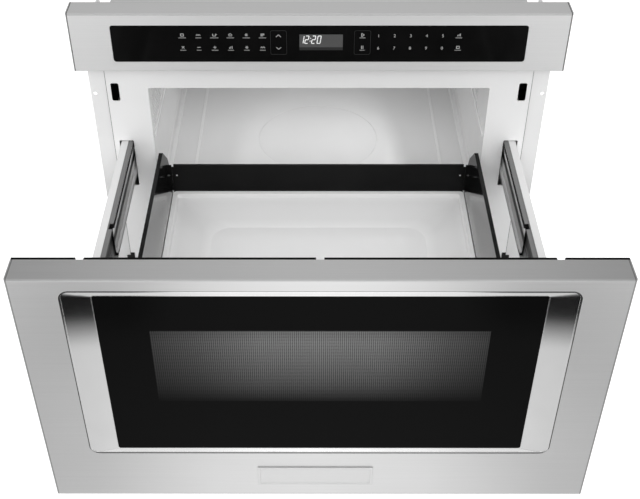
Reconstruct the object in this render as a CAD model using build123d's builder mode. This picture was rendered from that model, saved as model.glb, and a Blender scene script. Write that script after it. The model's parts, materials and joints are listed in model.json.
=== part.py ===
from build123d import *
from math import atan2, cos, pi, radians, sin, sqrt, tan
import os

os.makedirs("parts", exist_ok=True)

# A built-in microwave drawer, drawn with its drawer fully open.
# X runs left to right as seen from the front, Y from front to back, Z up.
# The origin is the middle of the cabinet's underside. All sizes are millimetres.

# ------------------------------------------------------------------ driving sizes

# cabinet box
case_width = 546.0
case_height = 370.0
case_depth = 590.0
case_sheet = 1.0
pan_lip = 15.0
plate_sheet = 1.2
plate_height = 410.0

# stainless front
front_width = 606.4
front_shell = 1.2
front_depth = 30.5
front_edge_round = 2.2
door_lift = 2.0
door_height = 331.25
panel_gap = 3.0
panel_height = 78.5
door_proud = 5.0
door_rear_gap = 1.5
travel = 381.0

# control panel
control_glass_width = 503.5
control_glass_height = 48.8
control_glass_rise = 13.95
control_glass_thickness = 3.0
control_glass_round = 3.5
control_glass_fit = 0.25
carrier_border = 14.0
carrier_rim = 8.0
carrier_depth = 10.0
display_width = 60.0
display_height = 26.0
display_offset_x = 2.5
display_fit = 0.5
board_thickness = 1.6

# flanges that close the gap to the furniture
flange_width = 21.3
flange_seam = 0.6
flange_bottom = 4.0
flange_return = 32.0
flange_hole = 5.0
flange_hole_inset = 5.6
flange_hole_upper = 285.7
flange_hole_lower = 56.0

# oven cavity
cavity_width = 439.7
cavity_height = 180.0
machine_space = 169.3
cavity_sheet = 0.8
cavity_floor_height = 114.65
cavity_round = 10.0
cavity_top_round = 2.0
cavity_mouth_round = 6.0
rib_offset = 178.0
rib_width = 4.0
rib_rise = 0.8
rib_end_gap = 15.0
vent_hole = 4.0
vent_pitch = 7.0
vent_columns = 11
vent_rise = 136.0
vent_depth = 54.0
vent_levels = 7
lamp_hole = 3.5
lamp_hole_pitch = 5.5
lamp_columns = 3
lamp_levels = 4
lamp_depth = 89.0
lamp_rise = 118.5

# rotating antenna under the cavity floor
well_distance = 156.5
well_radius = 89.4
well_step = 2.8
well_seat = 9.0
well_depth = 16.0
antenna_radius = 72.0
antenna_thickness = 1.2
duct_width = 86.0
duct_height = 38.8
duct_sheet = 1.0

# slide slots and latch slots in the front plate
slide_centre_height = 186.25
slide_slot_inner = 247.0
slide_slot_outer = 266.0
slide_slot_height = 74.0
slot_head_gap = 1.25
latch_slot_inner = 257.2
latch_slot_outer = 267.6
latch_slot_height = 26.3
latch_slot_round = 2.5
latch_slot_middle = 288.5

# three-part ball slides
slide_length = 400.0
slide_setback = 4.0
middle_setback = 10.0
half_bracket = 26.0
slide_height = 52.0
slide_sheet = 1.2
slide_web = 254.0
slide_flange = 6.0
ball_diameter = 3.6
ball_gap = 4.3
web_gap = 1.4
middle_lip_reach = 0.4
cage_length = 176.0
cage_sheet = 0.4
cage_gap = 0.5
cage_width = 3.1
ball_web_gap = 0.2
bumper_length = 8.0
bumper_cap = 2.0
stop_notch = 11.0
balls_per_race = 12

# drawer arms
arm_width = 9.0
arm_height = 60.0
arm_sheet = 1.5
arm_length = 423.0
arm_rise = 0.5

# rack and pinion
gear_module = 1.5
pinion_teeth = 16
gear_width = 6.0
gear_inset = 2.0
rack_teeth = 85
rack_body = 6.0
rack_lead = 2.5
pressure_angle = 20.0
gear_backlash = 0.6
pinion_distance = 28.0
shaft_radius = 3.0
shaft_clearance = 0.1
shaft_stub = 12.0

# drawer front
opening_width = 508.8
opening_height = 242.7
opening_round = 11.0
opening_rise = 74.25
bezel_fit = 0.5
bezel_drop = 0.8
bezel_sheet = 1.0
bezel_edge = 1.6
bezel_edge_round = 0.8
bezel_lap = 6.0
glass_width = 446.0
glass_height = 228.4
glass_drop = 1.1
glass_recess = 2.6
glass_round = 3.0
glass_gap = 0.3
glass_ledge = 6.0
glass_chamfer = 0.6
glass_thickness = 4.0
window_width = 341.0
window_height = 102.0
window_drop = 44.0
window_margin = 12.0
screen_sheet = 0.5
screen_gap = 1.5
door_frame_wall = 20.0
door_frame_sheet = 1.2
frame_fit = 0.3
rim_side_gap = 34.0
rim_foot_gap = 22.0
rim_head_gap = 6.0
inner_glass_thickness = 3.0
cover_thickness = 3.5
cover_inset = 0.2
cover_top_gap = 0.2
arm_fit = 1.0
cover_notch_width = 8.2
cover_notch_depth = 3.0
cover_notch_offset = 235.8
badge_width = 130.0
badge_height = 31.0
badge_thickness = 1.4
badge_rise = 19.5
badge_offset_x = -4.6
badge_round = 1.5
badge_chamfer = 0.5

# oven drawer tub
tub_half_width = 213.5
tub_sheet = 1.0
tub_hem = 5.1
tub_lean = 8.6
tub_top_height = 200.25
tub_floor_height = 117.4
tub_floor_ledge = 30.0
tub_depth = 373.0
tub_tail = 16.0
tub_back_drop = 20.0
tub_hole = 2.6
tub_hole_drop = 17.0
tub_hole_inset = 6.2
side_hole_inset = 3.2
tub_corner_gap = 1.2
tub_seam = 0.1
tub_roll = 3.0
tub_notch_width = 2.5
tub_notch_depth = 3.0
tray_rim_height = 137.4
tray_thickness = 3.2
tray_rim = 6.0
tray_lip = 5.0
tray_shoulder = 2.0
tray_dish = 18.4
tray_slope = 57.5
tray_corner = 5.0
tray_rim_corner = 4.0
dish_corner = 26.0
tray_clearance = 0.8

# drawer latches
latch_thickness = 8.0
latch_height = 15.0
latch_reach = 22.0
latch_pin = 4.0
latch_pin_depth = 19.0
latch_pin_clearance = 0.1
latch_pin_drop = 1.0
latch_heel = 4.0
latch_catch = 8.0
latch_notch = 6.0
latch_notch_depth = 4.0
latch_nose = 3.5
latch_side_gap = 2.6
latch_window_low = 16.0
latch_window_high = 15.0
ear_sheet = 1.2
ear_reach = 5.0
ear_foot = 3.0
ear_drop = 17.0
ear_rise = 16.0
switch_gap = 4.0
switch_plunger = 3.0
switch_half_width = 7.0
switch_depth = 20.0
switch_height = 10.0
switch_half_gap = 1.0

# parts inside the cabinet
fan_size = 120.0
fan_depth = 38.0
fan_bore = 112.0
fan_centre_x = 150.0
fan_centre_height = 215.0
fan_blades = 7
fan_motor_radius = 20.0
inlet_bore = 9.0
inlet_hole = 22.0
inlet_fit = 0.05
inlet_x = -190.0
inlet_height = 60.0
screw_head = 7.0
screw_rise = 2.0
arm_screw_inset = 8.0
rear_screw_inset = 8.0
flange_screw_inset = 10.0
flange_screw_end = 40.0
plate_screw_inset = 4.0
plate_screw_height = 184.75
plate_screw_radius = 2.2
plate_screw_rise = 1.0

# ------------------------------------------------------------------ derived places

half_case = case_width / 2
half_front = front_width / 2
front_y = -case_depth / 2
rear_y = case_depth / 2
plate_back = front_y + plate_sheet

door_top = door_lift + door_height
panel_bottom = door_top + panel_gap
panel_face = front_y - front_depth
door_thickness = front_depth + cover_thickness
door_face = front_y - door_rear_gap - door_thickness - travel
shell_back = door_face + front_depth
door_back = door_face + door_thickness

half_cavity = cavity_width / 2
cavity_top = cavity_floor_height + cavity_height
cavity_depth = case_depth - machine_space
cavity_rear = front_y + cavity_depth
well_y = front_y + well_distance
well_seat_height = cavity_floor_height - well_step
well_inner_radius = well_radius - well_seat
duct_top = well_seat_height - cavity_sheet - well_depth
duct_bottom = duct_top - duct_height

arm_top = slide_centre_height + slide_height / 2 + arm_rise
slot_middle = arm_top + slot_head_gap - slide_slot_height / 2
middle_height = slide_height - 2 * slide_sheet - 2 * ball_gap
inner_height = middle_height - 2 * slide_sheet - 2 * ball_gap
outer_lip = slide_web - slide_flange
middle_web = slide_web - slide_sheet - web_gap
middle_lip = outer_lip - middle_lip_reach
inner_tip = middle_web - slide_sheet - web_gap
inner_web = inner_tip - slide_flange + slide_sheet
slide_front_closed = front_y + slide_setback

pitch = gear_module * pi
pitch_radius = gear_module * pinion_teeth / 2
addendum = gear_module
dedendum = 1.25 * gear_module
rack_root = arm_top - arm_height - rack_body
pinion_height = rack_root - dedendum - pitch_radius
pinion_y = front_y + pinion_distance
gear_inner = slide_web + gear_inset
gear_outer = gear_inner + gear_width

opening_middle = opening_rise + door_lift + opening_height / 2
glass_middle = opening_middle - glass_drop
window_middle = glass_middle + glass_height / 2 - window_drop - window_height / 2
aperture_width = window_width + 2 * window_margin
aperture_height = window_height + 2 * window_margin
screen_depth = glass_recess + glass_thickness + screen_gap

tray_half_width = tub_half_width - tub_hem - tub_lean - tray_clearance
tub_back = door_back + tub_depth
tub_back_top = tub_top_height - tub_back_drop
half_display = display_width / 2


# ------------------------------------------------------------------ shared helpers

def block(x_span, y_span, z_span, mode=Mode.ADD):
    """A square-cornered block between two corners, added to or cut from the part being built."""
    centre = [(span[0] + span[1]) / 2 for span in (x_span, y_span, z_span)]
    size = [abs(span[1] - span[0]) for span in (x_span, y_span, z_span)]
    with Locations(tuple(centre)):
        Box(*size, mode=mode)


def rod(centre, radius, length, axis, mode=Mode.ADD):
    """A round bar centred on a point, lying along the named axis."""
    turn = {"X": (0, 90, 0), "Y": (90, 0, 0), "Z": (0, 0, 0)}[axis]
    with Locations(Location(centre, turn)):
        Cylinder(radius, length, mode=mode)


def upright(centre, radius, low, high, mode=Mode.ADD):
    """A round bar standing on one height and reaching up to another."""
    rod((centre[0], centre[1], (low + high) / 2), radius, high - low, "Z", mode)


def lengthwise(centre, radius, front, rear, mode=Mode.ADD):
    """A round bar lying from front to rear, its centre given across and up."""
    rod((centre[0], (front + rear) / 2, centre[1]), radius, rear - front, "Y", mode)


def around(middle, half):
    """The span that reaches the same distance to both sides of a middle."""
    return (middle - half, middle + half)


def sided(side, inner, outer):
    """The X span of something that lies between two distances from the middle, on one side."""
    return (side * inner, side * outer)


def save(piece, name):
    piece.part.label = name
    export_step(piece.part, f"parts/{name}.step")


def grid_cuts(centre, normal_plane, counts, spacing, size, depth):
    """A field of round holes cut through a sheet that faces along a plane's normal."""
    plane = Plane(centre, x_dir=normal_plane.x_dir, z_dir=normal_plane.z_dir)
    with BuildSketch(plane) as holes:
        with GridLocations(spacing, spacing, counts[0], counts[1]):
            Circle(size / 2)
    extrude(holes.sketch, amount=depth, both=True, mode=Mode.SUBTRACT)


sides = {"left": -1, "right": 1}

# ------------------------------------------------------------------ cabinet shell

# the pan that everything stands on, with cooling slots in its floor
pan_half = half_case - case_sheet
pan_slot_length = 60.0
pan_slot_width = 5.0
pan_slot_pitch = 14.0
pan_slot_count = 8
pan_slot_rear_gap = 60.0
pan_slot_y = rear_y - pan_slot_rear_gap
with BuildPart() as base_pan:
    block((-pan_half, pan_half), (plate_back, rear_y - case_sheet), (0, pan_lip))
    block(
        (-pan_half + case_sheet, pan_half - case_sheet),
        (plate_back + case_sheet, rear_y - 2 * case_sheet),
        (case_sheet, pan_lip),
        Mode.SUBTRACT,
    )
    with BuildSketch(Plane.XY.offset(case_sheet)):
        with Locations((-pan_half / 2, pan_slot_y), (pan_half / 2, pan_slot_y)):
            with GridLocations(pan_slot_pitch, 1.0, pan_slot_count, 1):
                SlotOverall(pan_slot_length, pan_slot_width, rotation=90)
    extrude(amount=-case_sheet, mode=Mode.SUBTRACT)
save(base_pan, "base_pan")

# the wrapper that forms both sides and the top in one folded sheet
case_depth_span = (plate_back, rear_y - case_sheet)
case_fold_round = 0.6
louvre_count = 7
louvre_pitch = 12.0
louvre_height = 4.0
louvre_length = 80.0
louvre_top_gap = 60.0
louvre_rear_gap = 50.0
with BuildPart() as outer_case:
    block((-half_case, half_case), case_depth_span, (0, case_height))
    block((-pan_half, pan_half), case_depth_span, (0, case_height - case_sheet), Mode.SUBTRACT)
    fillet(outer_case.edges().filter_by(Axis.Y).group_by(Axis.Z)[-1], radius=case_fold_round)
    for side in sides.values():
        for step in range(louvre_count):
            louvre_z = case_height - louvre_top_gap - step * louvre_pitch
            block(
                sided(side, half_case - 2 * case_sheet, half_case + case_sheet),
                (rear_y - louvre_rear_gap - louvre_length, rear_y - louvre_rear_gap),
                (louvre_z, louvre_z + louvre_height),
                Mode.SUBTRACT,
            )
save(outer_case, "outer_case")

# the back, with a ring of air slots for the fan and the hole for the mains bushing
vent_rows = 9
vent_row_pitch = 11.0
vent_row_height = 5.0
vent_row_margin = 4.0
with BuildPart() as rear_panel:
    block((-half_case, half_case), (rear_y - case_sheet, rear_y), (0, case_height))
    with BuildSketch(Plane((fan_centre_x, rear_y, fan_centre_height), x_dir=(1, 0, 0), z_dir=(0, 1, 0))):
        for row in range(vent_rows):
            row_z = (row - (vent_rows - 1) / 2) * vent_row_pitch
            row_half = sqrt((fan_bore / 2) ** 2 - row_z ** 2) - vent_row_margin
            with Locations((0, row_z)):
                SlotOverall(2 * row_half, vent_row_height)
    extrude(amount=case_sheet, both=True, mode=Mode.SUBTRACT)
    rod((inlet_x, rear_y, inlet_height), inlet_hole / 2, 4 * case_sheet, "Y", Mode.SUBTRACT)
save(rear_panel, "rear_panel")

# the white front plate: cavity mouth, two slide slots and two latch slots
mouth_middle = cavity_floor_height + cavity_height / 2
slide_slot_width = slide_slot_outer - slide_slot_inner
latch_slot_width = latch_slot_outer - latch_slot_inner
slot_round = 1.5
with BuildPart() as front_frame:
    block((-half_case, half_case), (front_y, plate_back), (0, plate_height))
    with BuildSketch(Plane.XZ.offset(-front_y)):
        with Locations((0, mouth_middle)):
            RectangleRounded(cavity_width, cavity_height, cavity_mouth_round)
        with Locations((0, mouth_middle + cavity_height / 4)):
            RectangleRounded(cavity_width, cavity_height / 2, cavity_top_round)
        for side in sides.values():
            with Locations((side * (slide_slot_inner + slide_slot_width / 2), slot_middle)):
                RectangleRounded(slide_slot_width, slide_slot_height, slot_round)
            with Locations((side * (latch_slot_inner + latch_slot_width / 2), latch_slot_middle)):
                RectangleRounded(latch_slot_width, latch_slot_height, latch_slot_round)
    extrude(amount=2 * plate_sheet, both=True, mode=Mode.SUBTRACT)
save(front_frame, "front_frame")

# angle pieces beside the plate, a fine seam away: the front leg laps the furniture, the return
# leg the case side
flange_outer = half_case + flange_width
flange_height_span = (flange_bottom, plate_height)
flange_hole_x = flange_outer - flange_hole_inset
for name, side in sides.items():
    with BuildPart() as side_flange:
        block(
            sided(side, half_case + flange_seam, flange_outer),
            (plate_back, plate_back + plate_sheet),
            flange_height_span,
        )
        block(
            sided(side, half_case, half_case + plate_sheet),
            (plate_back + plate_sheet, plate_back + flange_return),
            flange_height_span,
        )
        for hole_z in (flange_hole_lower, flange_hole_upper):
            hole_centre = (side * flange_hole_x, plate_back, hole_z)
            rod(hole_centre, flange_hole / 2, 6 * plate_sheet, "Y", Mode.SUBTRACT)
    save(side_flange, f"side_flange_{name}")

# ------------------------------------------------------------------ oven cavity

cavity_outer_half = half_cavity + cavity_sheet
vent_middle = (-half_cavity, front_y + vent_depth, cavity_floor_height + vent_rise)
lamp_y = front_y + lamp_depth
lamp_z = cavity_floor_height + lamp_rise
lamp_middle = (half_cavity, lamp_y, lamp_z)
with BuildPart() as oven_cavity:
    block(
        (-cavity_outer_half, cavity_outer_half),
        (plate_back, cavity_rear + cavity_sheet),
        (cavity_floor_height - cavity_sheet, cavity_top + cavity_sheet),
    )
    fillet(oven_cavity.edges().filter_by(Axis.Y).group_by(Axis.Z)[0], radius=cavity_round + cavity_sheet)
    fillet(oven_cavity.edges().filter_by(Axis.Y).group_by(Axis.Z)[-1], radius=cavity_top_round + cavity_sheet)
    offset(amount=-cavity_sheet, openings=oven_cavity.faces().sort_by(Axis.Y)[0])
    for side in sides.values():
        block(
            sided(side, rib_offset - rib_width / 2, rib_offset + rib_width / 2),
            (front_y + rib_end_gap, cavity_rear - rib_end_gap),
            (cavity_floor_height - cavity_sheet, cavity_floor_height + rib_rise),
        )
    well_low = well_seat_height - cavity_sheet
    upright((0, well_y), well_radius + cavity_sheet, well_low, cavity_floor_height)
    upright((0, well_y), well_radius, well_seat_height, cavity_floor_height + well_step, Mode.SUBTRACT)
    upright((0, well_y), well_inner_radius, well_low - 1, cavity_floor_height, Mode.SUBTRACT)
    grid_cuts(vent_middle, Plane.YZ, (vent_columns, vent_levels), vent_pitch, vent_hole, 5 * cavity_sheet)
    lamp_counts = (lamp_columns, lamp_levels)
    grid_cuts(lamp_middle, Plane.YZ, lamp_counts, lamp_hole_pitch, lamp_hole, 5 * cavity_sheet)
save(oven_cavity, "oven_cavity")

# the lamp that shines in through the holes of the right wall, hung from a small bracket
lamp_reach = 8.5
lamp_base_radius = 7.0
lamp_bulb_radius = 5.0
lamp_bulb_drop = 6.0
lamp_bracket_rise = 14.0
lamp_bracket_height = 11.2
lamp_base_drop = 4.5
lamp_bulb_bottom = lamp_z - lamp_bulb_drop
lamp_sheet = 1.2
lamp_plate_half = 14.0
lamp_arm_half = 9.0
lamp_bracket_low = lamp_z + lamp_bracket_rise
lamp_bracket_top = lamp_bracket_low + lamp_bracket_height
lamp_base_low = lamp_bracket_low - lamp_base_drop
lamp_x = cavity_outer_half + lamp_reach
with BuildPart() as cavity_lamp:
    block(
        (cavity_outer_half, cavity_outer_half + lamp_sheet),
        around(lamp_y, lamp_plate_half),
        (lamp_bracket_low, lamp_bracket_top),
    )
    block(
        (cavity_outer_half, cavity_outer_half + 2 * lamp_reach),
        around(lamp_y, lamp_arm_half),
        (lamp_bracket_top - lamp_sheet, lamp_bracket_top),
    )
    upright((lamp_x, lamp_y), lamp_base_radius, lamp_base_low, lamp_bracket_top - lamp_sheet / 2)
    upright((lamp_x, lamp_y), lamp_bulb_radius, lamp_bulb_bottom, lamp_base_low)
    with Locations((lamp_x, lamp_y, lamp_bulb_bottom)):
        Sphere(lamp_bulb_radius)
save(cavity_lamp, "cavity_lamp")

# the round ceramic cover that lies flush in the floor over the antenna
cover_clearance = 0.8
cover_edge_round = 0.6
with BuildPart() as stirrer_cover:
    upright((0, well_y), well_radius - cover_clearance, well_seat_height, cavity_floor_height)
    fillet(stirrer_cover.edges().group_by(Axis.Z)[-1], radius=cover_edge_round)
save(stirrer_cover, "stirrer_cover")

# the duct that carries the microwaves from the rear to the round well under the floor
duct_lead = 60.0
duct_tail = 100.0
magnetron_setback = 56.0
duct_front = well_y - duct_lead
duct_rear = cavity_rear + duct_tail
magnetron_y = cavity_rear + magnetron_setback
probe_radius = 9.0
probe_length = 25.0
probe_clearance = 2.0
coupling_radius = 16.0
half_duct = duct_width / 2
well_wall_gap = 6.0
well_outer = well_inner_radius + well_wall_gap
with BuildPart() as waveguide:
    block((-half_duct, half_duct), (duct_front, duct_rear), (duct_bottom, duct_top))
    upright((0, well_y), well_outer, duct_top - duct_sheet, duct_top + well_depth)
    upright((0, well_y), well_outer - duct_sheet, duct_top, duct_top + 2 * well_depth, Mode.SUBTRACT)
    block(
        (-half_duct + duct_sheet, half_duct - duct_sheet),
        (duct_front + duct_sheet, duct_rear - duct_sheet),
        (duct_bottom + duct_sheet, duct_top - duct_sheet),
        Mode.SUBTRACT,
    )
    rod((0, well_y, duct_top), coupling_radius, 4 * duct_sheet, "Z", Mode.SUBTRACT)
    rod((0, magnetron_y, duct_top), probe_radius + probe_clearance, 4 * duct_sheet, "Z", Mode.SUBTRACT)
    rod((0, well_y, duct_bottom), shaft_radius + duct_sheet, 4 * duct_sheet, "Z", Mode.SUBTRACT)
save(waveguide, "waveguide")

# the small gearmotor that turns the antenna, hung under the duct
stirrer_motor_radius = 24.0
stirrer_motor_height = 18.0
stirrer_ear_reach = 32.0
stirrer_ear_half = 7.0
stirrer_ear_sheet = 2.0
stirrer_plug_half = 12.0
stirrer_plug_reach = 34.0
stirrer_plug_low = 14.0
antenna_shaft_reach = 10.0
shaft_end_gap = 4.0
stirrer_motor_low = duct_bottom - stirrer_motor_height
shaft_hole_radius = shaft_radius + shaft_clearance
with BuildPart() as stirrer_motor:
    upright((0, well_y), stirrer_motor_radius, stirrer_motor_low, duct_bottom)
    block(
        around(0, stirrer_ear_reach),
        around(well_y, stirrer_ear_half),
        (duct_bottom - stirrer_ear_sheet, duct_bottom),
    )
    block(
        around(0, stirrer_plug_half),
        (well_y - stirrer_plug_reach, well_y),
        (duct_bottom - stirrer_plug_low, duct_bottom - 2 * stirrer_ear_sheet),
    )
    shaft_hole_low = duct_bottom - antenna_shaft_reach - shaft_end_gap
    upright((0, well_y), shaft_hole_radius, shaft_hole_low, duct_bottom + 1, Mode.SUBTRACT)
save(stirrer_motor, "stirrer_motor")

# the rotating antenna: a thin round plate with three cut lobes on a hub and shaft
antenna_rise = 6.0
antenna_z = duct_top + antenna_rise
antenna_hub_radius = 8.0
antenna_hub_half = 3.0
lobe_count = 3
lobe_length = 44.0
lobe_width = 22.0
lobe_distance = 44.5
antenna_shaft_low = duct_bottom - antenna_shaft_reach
with BuildPart() as stirrer_antenna:
    upright((0, well_y), antenna_radius, antenna_z, antenna_z + antenna_thickness)
    with BuildSketch(Plane((0, well_y, antenna_z))):
        with PolarLocations(lobe_distance, lobe_count):
            SlotOverall(lobe_length, lobe_width)
    extrude(amount=antenna_thickness, mode=Mode.SUBTRACT)
    upright((0, well_y), antenna_hub_radius, antenna_z - antenna_hub_half, antenna_z + antenna_hub_half)
    upright((0, well_y), shaft_radius, antenna_shaft_low, antenna_z)
save(stirrer_antenna, "stirrer_antenna")

# ------------------------------------------------------------------ parts in the machine space

# the magnetron stands on the duct, with its probe reaching down inside
fin_count = 9
fin_pitch = 5.5
fin_sheet = 1.2
yoke_sheet = 2.0
yoke_inset = 4.0
magnetron_base = 3.0
fin_base_gap = 5.0
fin_top_gap = 1.0
half_magnetron = 48.0
magnetron_reach = 40.0
magnetron_span = around(magnetron_y, magnetron_reach)
anode_radius = 19.0
half_filter_box = 30.0
filter_box_reach = 22.0
filter_box_height = 28.0
first_fin_z = duct_top + magnetron_base + fin_base_gap
magnetron_top = first_fin_z + fin_top_gap + fin_count * fin_pitch
half_yoke = half_magnetron - yoke_inset
with BuildPart() as magnetron:
    block((-half_magnetron, half_magnetron), magnetron_span, (duct_top, duct_top + magnetron_base))
    upright((0, magnetron_y), anode_radius, duct_top, magnetron_top)
    for fin in range(fin_count):
        fin_z = first_fin_z + fin * fin_pitch
        block((-half_yoke, half_yoke), magnetron_span, (fin_z, fin_z + fin_sheet))
    for end in (-1, 1):
        block(sided(end, half_yoke - yoke_sheet, half_yoke), magnetron_span, (duct_top, magnetron_top))
    block((-half_yoke, half_yoke), magnetron_span, (magnetron_top, magnetron_top + yoke_sheet))
    block(
        around(0, half_filter_box),
        around(magnetron_y, filter_box_reach),
        (magnetron_top + yoke_sheet, magnetron_top + yoke_sheet + filter_box_height),
    )
    upright((0, magnetron_y), probe_radius, duct_top - probe_length, duct_top)
save(magnetron, "magnetron")

# the mains transformer: laminated core, two windings and a mounting plate
transformer_x = -150.0
transformer_setback = 84.0
transformer_y = cavity_rear + transformer_setback
core_width = 104.0
core_length = 66.0
core_height = 86.0
core_foot = 12.0
core_plate = 2.0
winding_width = 70.0
winding_length = 110.0
winding_round = 16.0
winding_levels = ((13.0, 34.0), (51.0, 26.0))
core_low = case_sheet + core_plate
with BuildPart() as transformer:
    block(
        around(transformer_x, core_width / 2 + core_foot),
        around(transformer_y, core_length / 2),
        (case_sheet, core_low),
    )
    block(
        around(transformer_x, core_width / 2),
        around(transformer_y, core_length / 2),
        (core_low, core_low + core_height),
    )
    for winding_low, winding_height in winding_levels:
        with BuildSketch(Plane.XY.offset(core_low + winding_low)):
            with Locations((transformer_x, transformer_y)):
                RectangleRounded(winding_width, winding_length, winding_round)
        extrude(amount=winding_height)
save(transformer, "transformer")

# the high-voltage capacitor in its clamp
capacitor_x = 60.0
capacitor_setback = 120.0
capacitor_y = cavity_rear + capacitor_setback
capacitor_length = 54.0
capacitor_width = 34.0
capacitor_height = 86.0
clamp_sheet = 1.5
clamp_rise = 30.0
clamp_height = 14.0
clamp_foot = 20.0
clamp_half = 7.0
clamp_bite = 1.0
terminal_half_width = 3.0
terminal_half_sheet = 0.5
terminal_offset = 10.0
terminal_height = 10.0
capacitor_top = case_sheet + capacitor_height
clamp_x = capacitor_x + capacitor_length / 2 - clamp_bite
with BuildPart() as capacitor:
    with BuildSketch(Plane.XY.offset(case_sheet)):
        with Locations((capacitor_x, capacitor_y)):
            SlotOverall(capacitor_length, capacitor_width)
    extrude(amount=capacitor_height)
    with BuildSketch(Plane.XY.offset(case_sheet + clamp_rise)):
        with Locations((capacitor_x, capacitor_y)):
            SlotOverall(capacitor_length + 2 * clamp_sheet, capacitor_width + 2 * clamp_sheet)
    extrude(amount=clamp_height)
    block(
        (clamp_x, clamp_x + clamp_foot),
        around(capacitor_y, clamp_half),
        (case_sheet, case_sheet + clamp_sheet),
    )
    block(
        (clamp_x, clamp_x + clamp_sheet),
        around(capacitor_y, clamp_half),
        (case_sheet, case_sheet + clamp_rise + clamp_height),
    )
    for end in (-1, 1):
        block(
            around(capacitor_x + end * terminal_offset, terminal_half_width),
            around(capacitor_y, terminal_half_sheet),
            (capacitor_top, capacitor_top + terminal_height),
        )
save(capacitor, "capacitor")

# the cooling fan: a square frame against the rear panel, spokes, motor and a loose impeller
fan_rear = rear_y - case_sheet
fan_front = fan_rear - fan_depth
half_fan = fan_size / 2
fan_hole_pitch = 105.0
fan_hole_radius = 2.2
fan_corner_round = 5.0
spoke_depth = 4.0
spoke_half = 3.0
spoke_inset = 3.0
spoke_reach = half_fan - spoke_inset
spoke_span = (fan_front, fan_front + spoke_depth)
fan_seat_rim = 2.0
fan_seat_radius = fan_motor_radius + fan_seat_rim
with BuildPart() as fan_housing:
    block(around(fan_centre_x, half_fan), (fan_front, fan_rear), around(fan_centre_height, half_fan))
    fillet(fan_housing.edges().filter_by(Axis.Y), radius=fan_corner_round)
    lengthwise((fan_centre_x, fan_centre_height), fan_bore / 2, fan_front - 1, fan_rear + 1, Mode.SUBTRACT)
    lengthwise((fan_centre_x, fan_centre_height), fan_seat_radius, *spoke_span)
    block(around(fan_centre_x, spoke_reach), spoke_span, around(fan_centre_height, spoke_half))
    block(around(fan_centre_x, spoke_half), spoke_span, around(fan_centre_height, spoke_reach))
    for across in (-fan_hole_pitch / 2, fan_hole_pitch / 2):
        for up in (-fan_hole_pitch / 2, fan_hole_pitch / 2):
            corner = (fan_centre_x + across, fan_centre_height + up)
            lengthwise(corner, fan_hole_radius, fan_front - 1, fan_rear + 1, Mode.SUBTRACT)
save(fan_housing, "fan_housing")

fan_axis = (fan_centre_x, fan_centre_height)
fan_motor_length = 12.0
fan_nose_radius = 6.0
fan_nose_length = 3.0
fan_shaft_radius = 2.0
fan_bearing_depth = 7.0
fan_shaft_reach = 10.0
impeller_gap = 4.0
fan_motor_front = fan_front + spoke_depth
fan_motor_rear = fan_motor_front + fan_motor_length
with BuildPart() as fan_motor:
    lengthwise(fan_axis, fan_motor_radius, fan_motor_front, fan_motor_rear)
    lengthwise(fan_axis, fan_nose_radius, fan_motor_rear, fan_motor_rear + fan_nose_length)
    lengthwise(
        fan_axis, fan_shaft_radius + shaft_clearance,
        fan_motor_rear - fan_bearing_depth, fan_motor_rear + fan_nose_length + 1, Mode.SUBTRACT,
    )
save(fan_motor, "fan_motor")

impeller_hub_radius = 24.0
impeller_hub_depth = 14.0
blade_root_radius = 22.0
blade_tip_gap = 2.0
blade_width = 24.0
blade_thickness = 1.6
blade_twist = 28.0
blade_length = fan_bore / 2 - blade_root_radius - blade_tip_gap
hub_front = fan_motor_rear + impeller_gap
hub_middle = hub_front + impeller_hub_depth / 2
with BuildPart() as fan_impeller:
    lengthwise(fan_axis, impeller_hub_radius, hub_front, hub_front + impeller_hub_depth)
    lengthwise(fan_axis, fan_shaft_radius, hub_front - fan_shaft_reach, hub_front + impeller_hub_depth / 2)
    for blade in range(fan_blades):
        blade_angle = radians(360 * blade / fan_blades)
        blade_plane = Plane(
            (fan_centre_x, hub_middle, fan_centre_height),
            x_dir=(cos(blade_angle), 0, sin(blade_angle)),
            z_dir=(0, -1, 0),
        )
        blade_centre = blade_root_radius + blade_length / 2
        with Locations(blade_plane * Location((blade_centre, 0, 0), (blade_twist, 0, 0))):
            Box(blade_length, blade_width, blade_thickness)
save(fan_impeller, "fan_impeller")

# the rubber bushing that lines the mains cable's hole
inlet_axis = (inlet_x, inlet_height)
inlet_flange = 4.0
inlet_flange_depth = 4.0
inlet_collar = 3.0
inlet_collar_depth = 6.0
inlet_edge_round = 1.0
inner_face = rear_y - case_sheet
with BuildPart() as power_inlet:
    lengthwise(inlet_axis, inlet_hole / 2 + inlet_flange, rear_y, rear_y + inlet_flange_depth)
    lengthwise(inlet_axis, inlet_hole / 2 - inlet_fit, inner_face, rear_y)
    lengthwise(inlet_axis, inlet_hole / 2 + inlet_collar, inner_face - inlet_collar_depth, inner_face)
    rod((inlet_x, rear_y, inlet_height), inlet_bore / 2, 30.0, "Y", Mode.SUBTRACT)
    fillet(power_inlet.edges().filter_by(GeomType.CIRCLE).sort_by(Axis.Y)[-1], radius=inlet_edge_round)
save(power_inlet, "power_inlet")

# ------------------------------------------------------------------ control panel

def control_window(plane_y):
    """The outline of the hole or pocket that the control glass sits in, with its fit all round."""
    with BuildSketch(Plane.XZ.offset(-plane_y)) as outline:
        with Locations((0, control_glass_middle)):
            RectangleRounded(
                control_glass_width + 2 * control_glass_fit,
                control_glass_height + 2 * control_glass_fit,
                control_glass_round + control_glass_fit,
            )
    return outline.sketch


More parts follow.
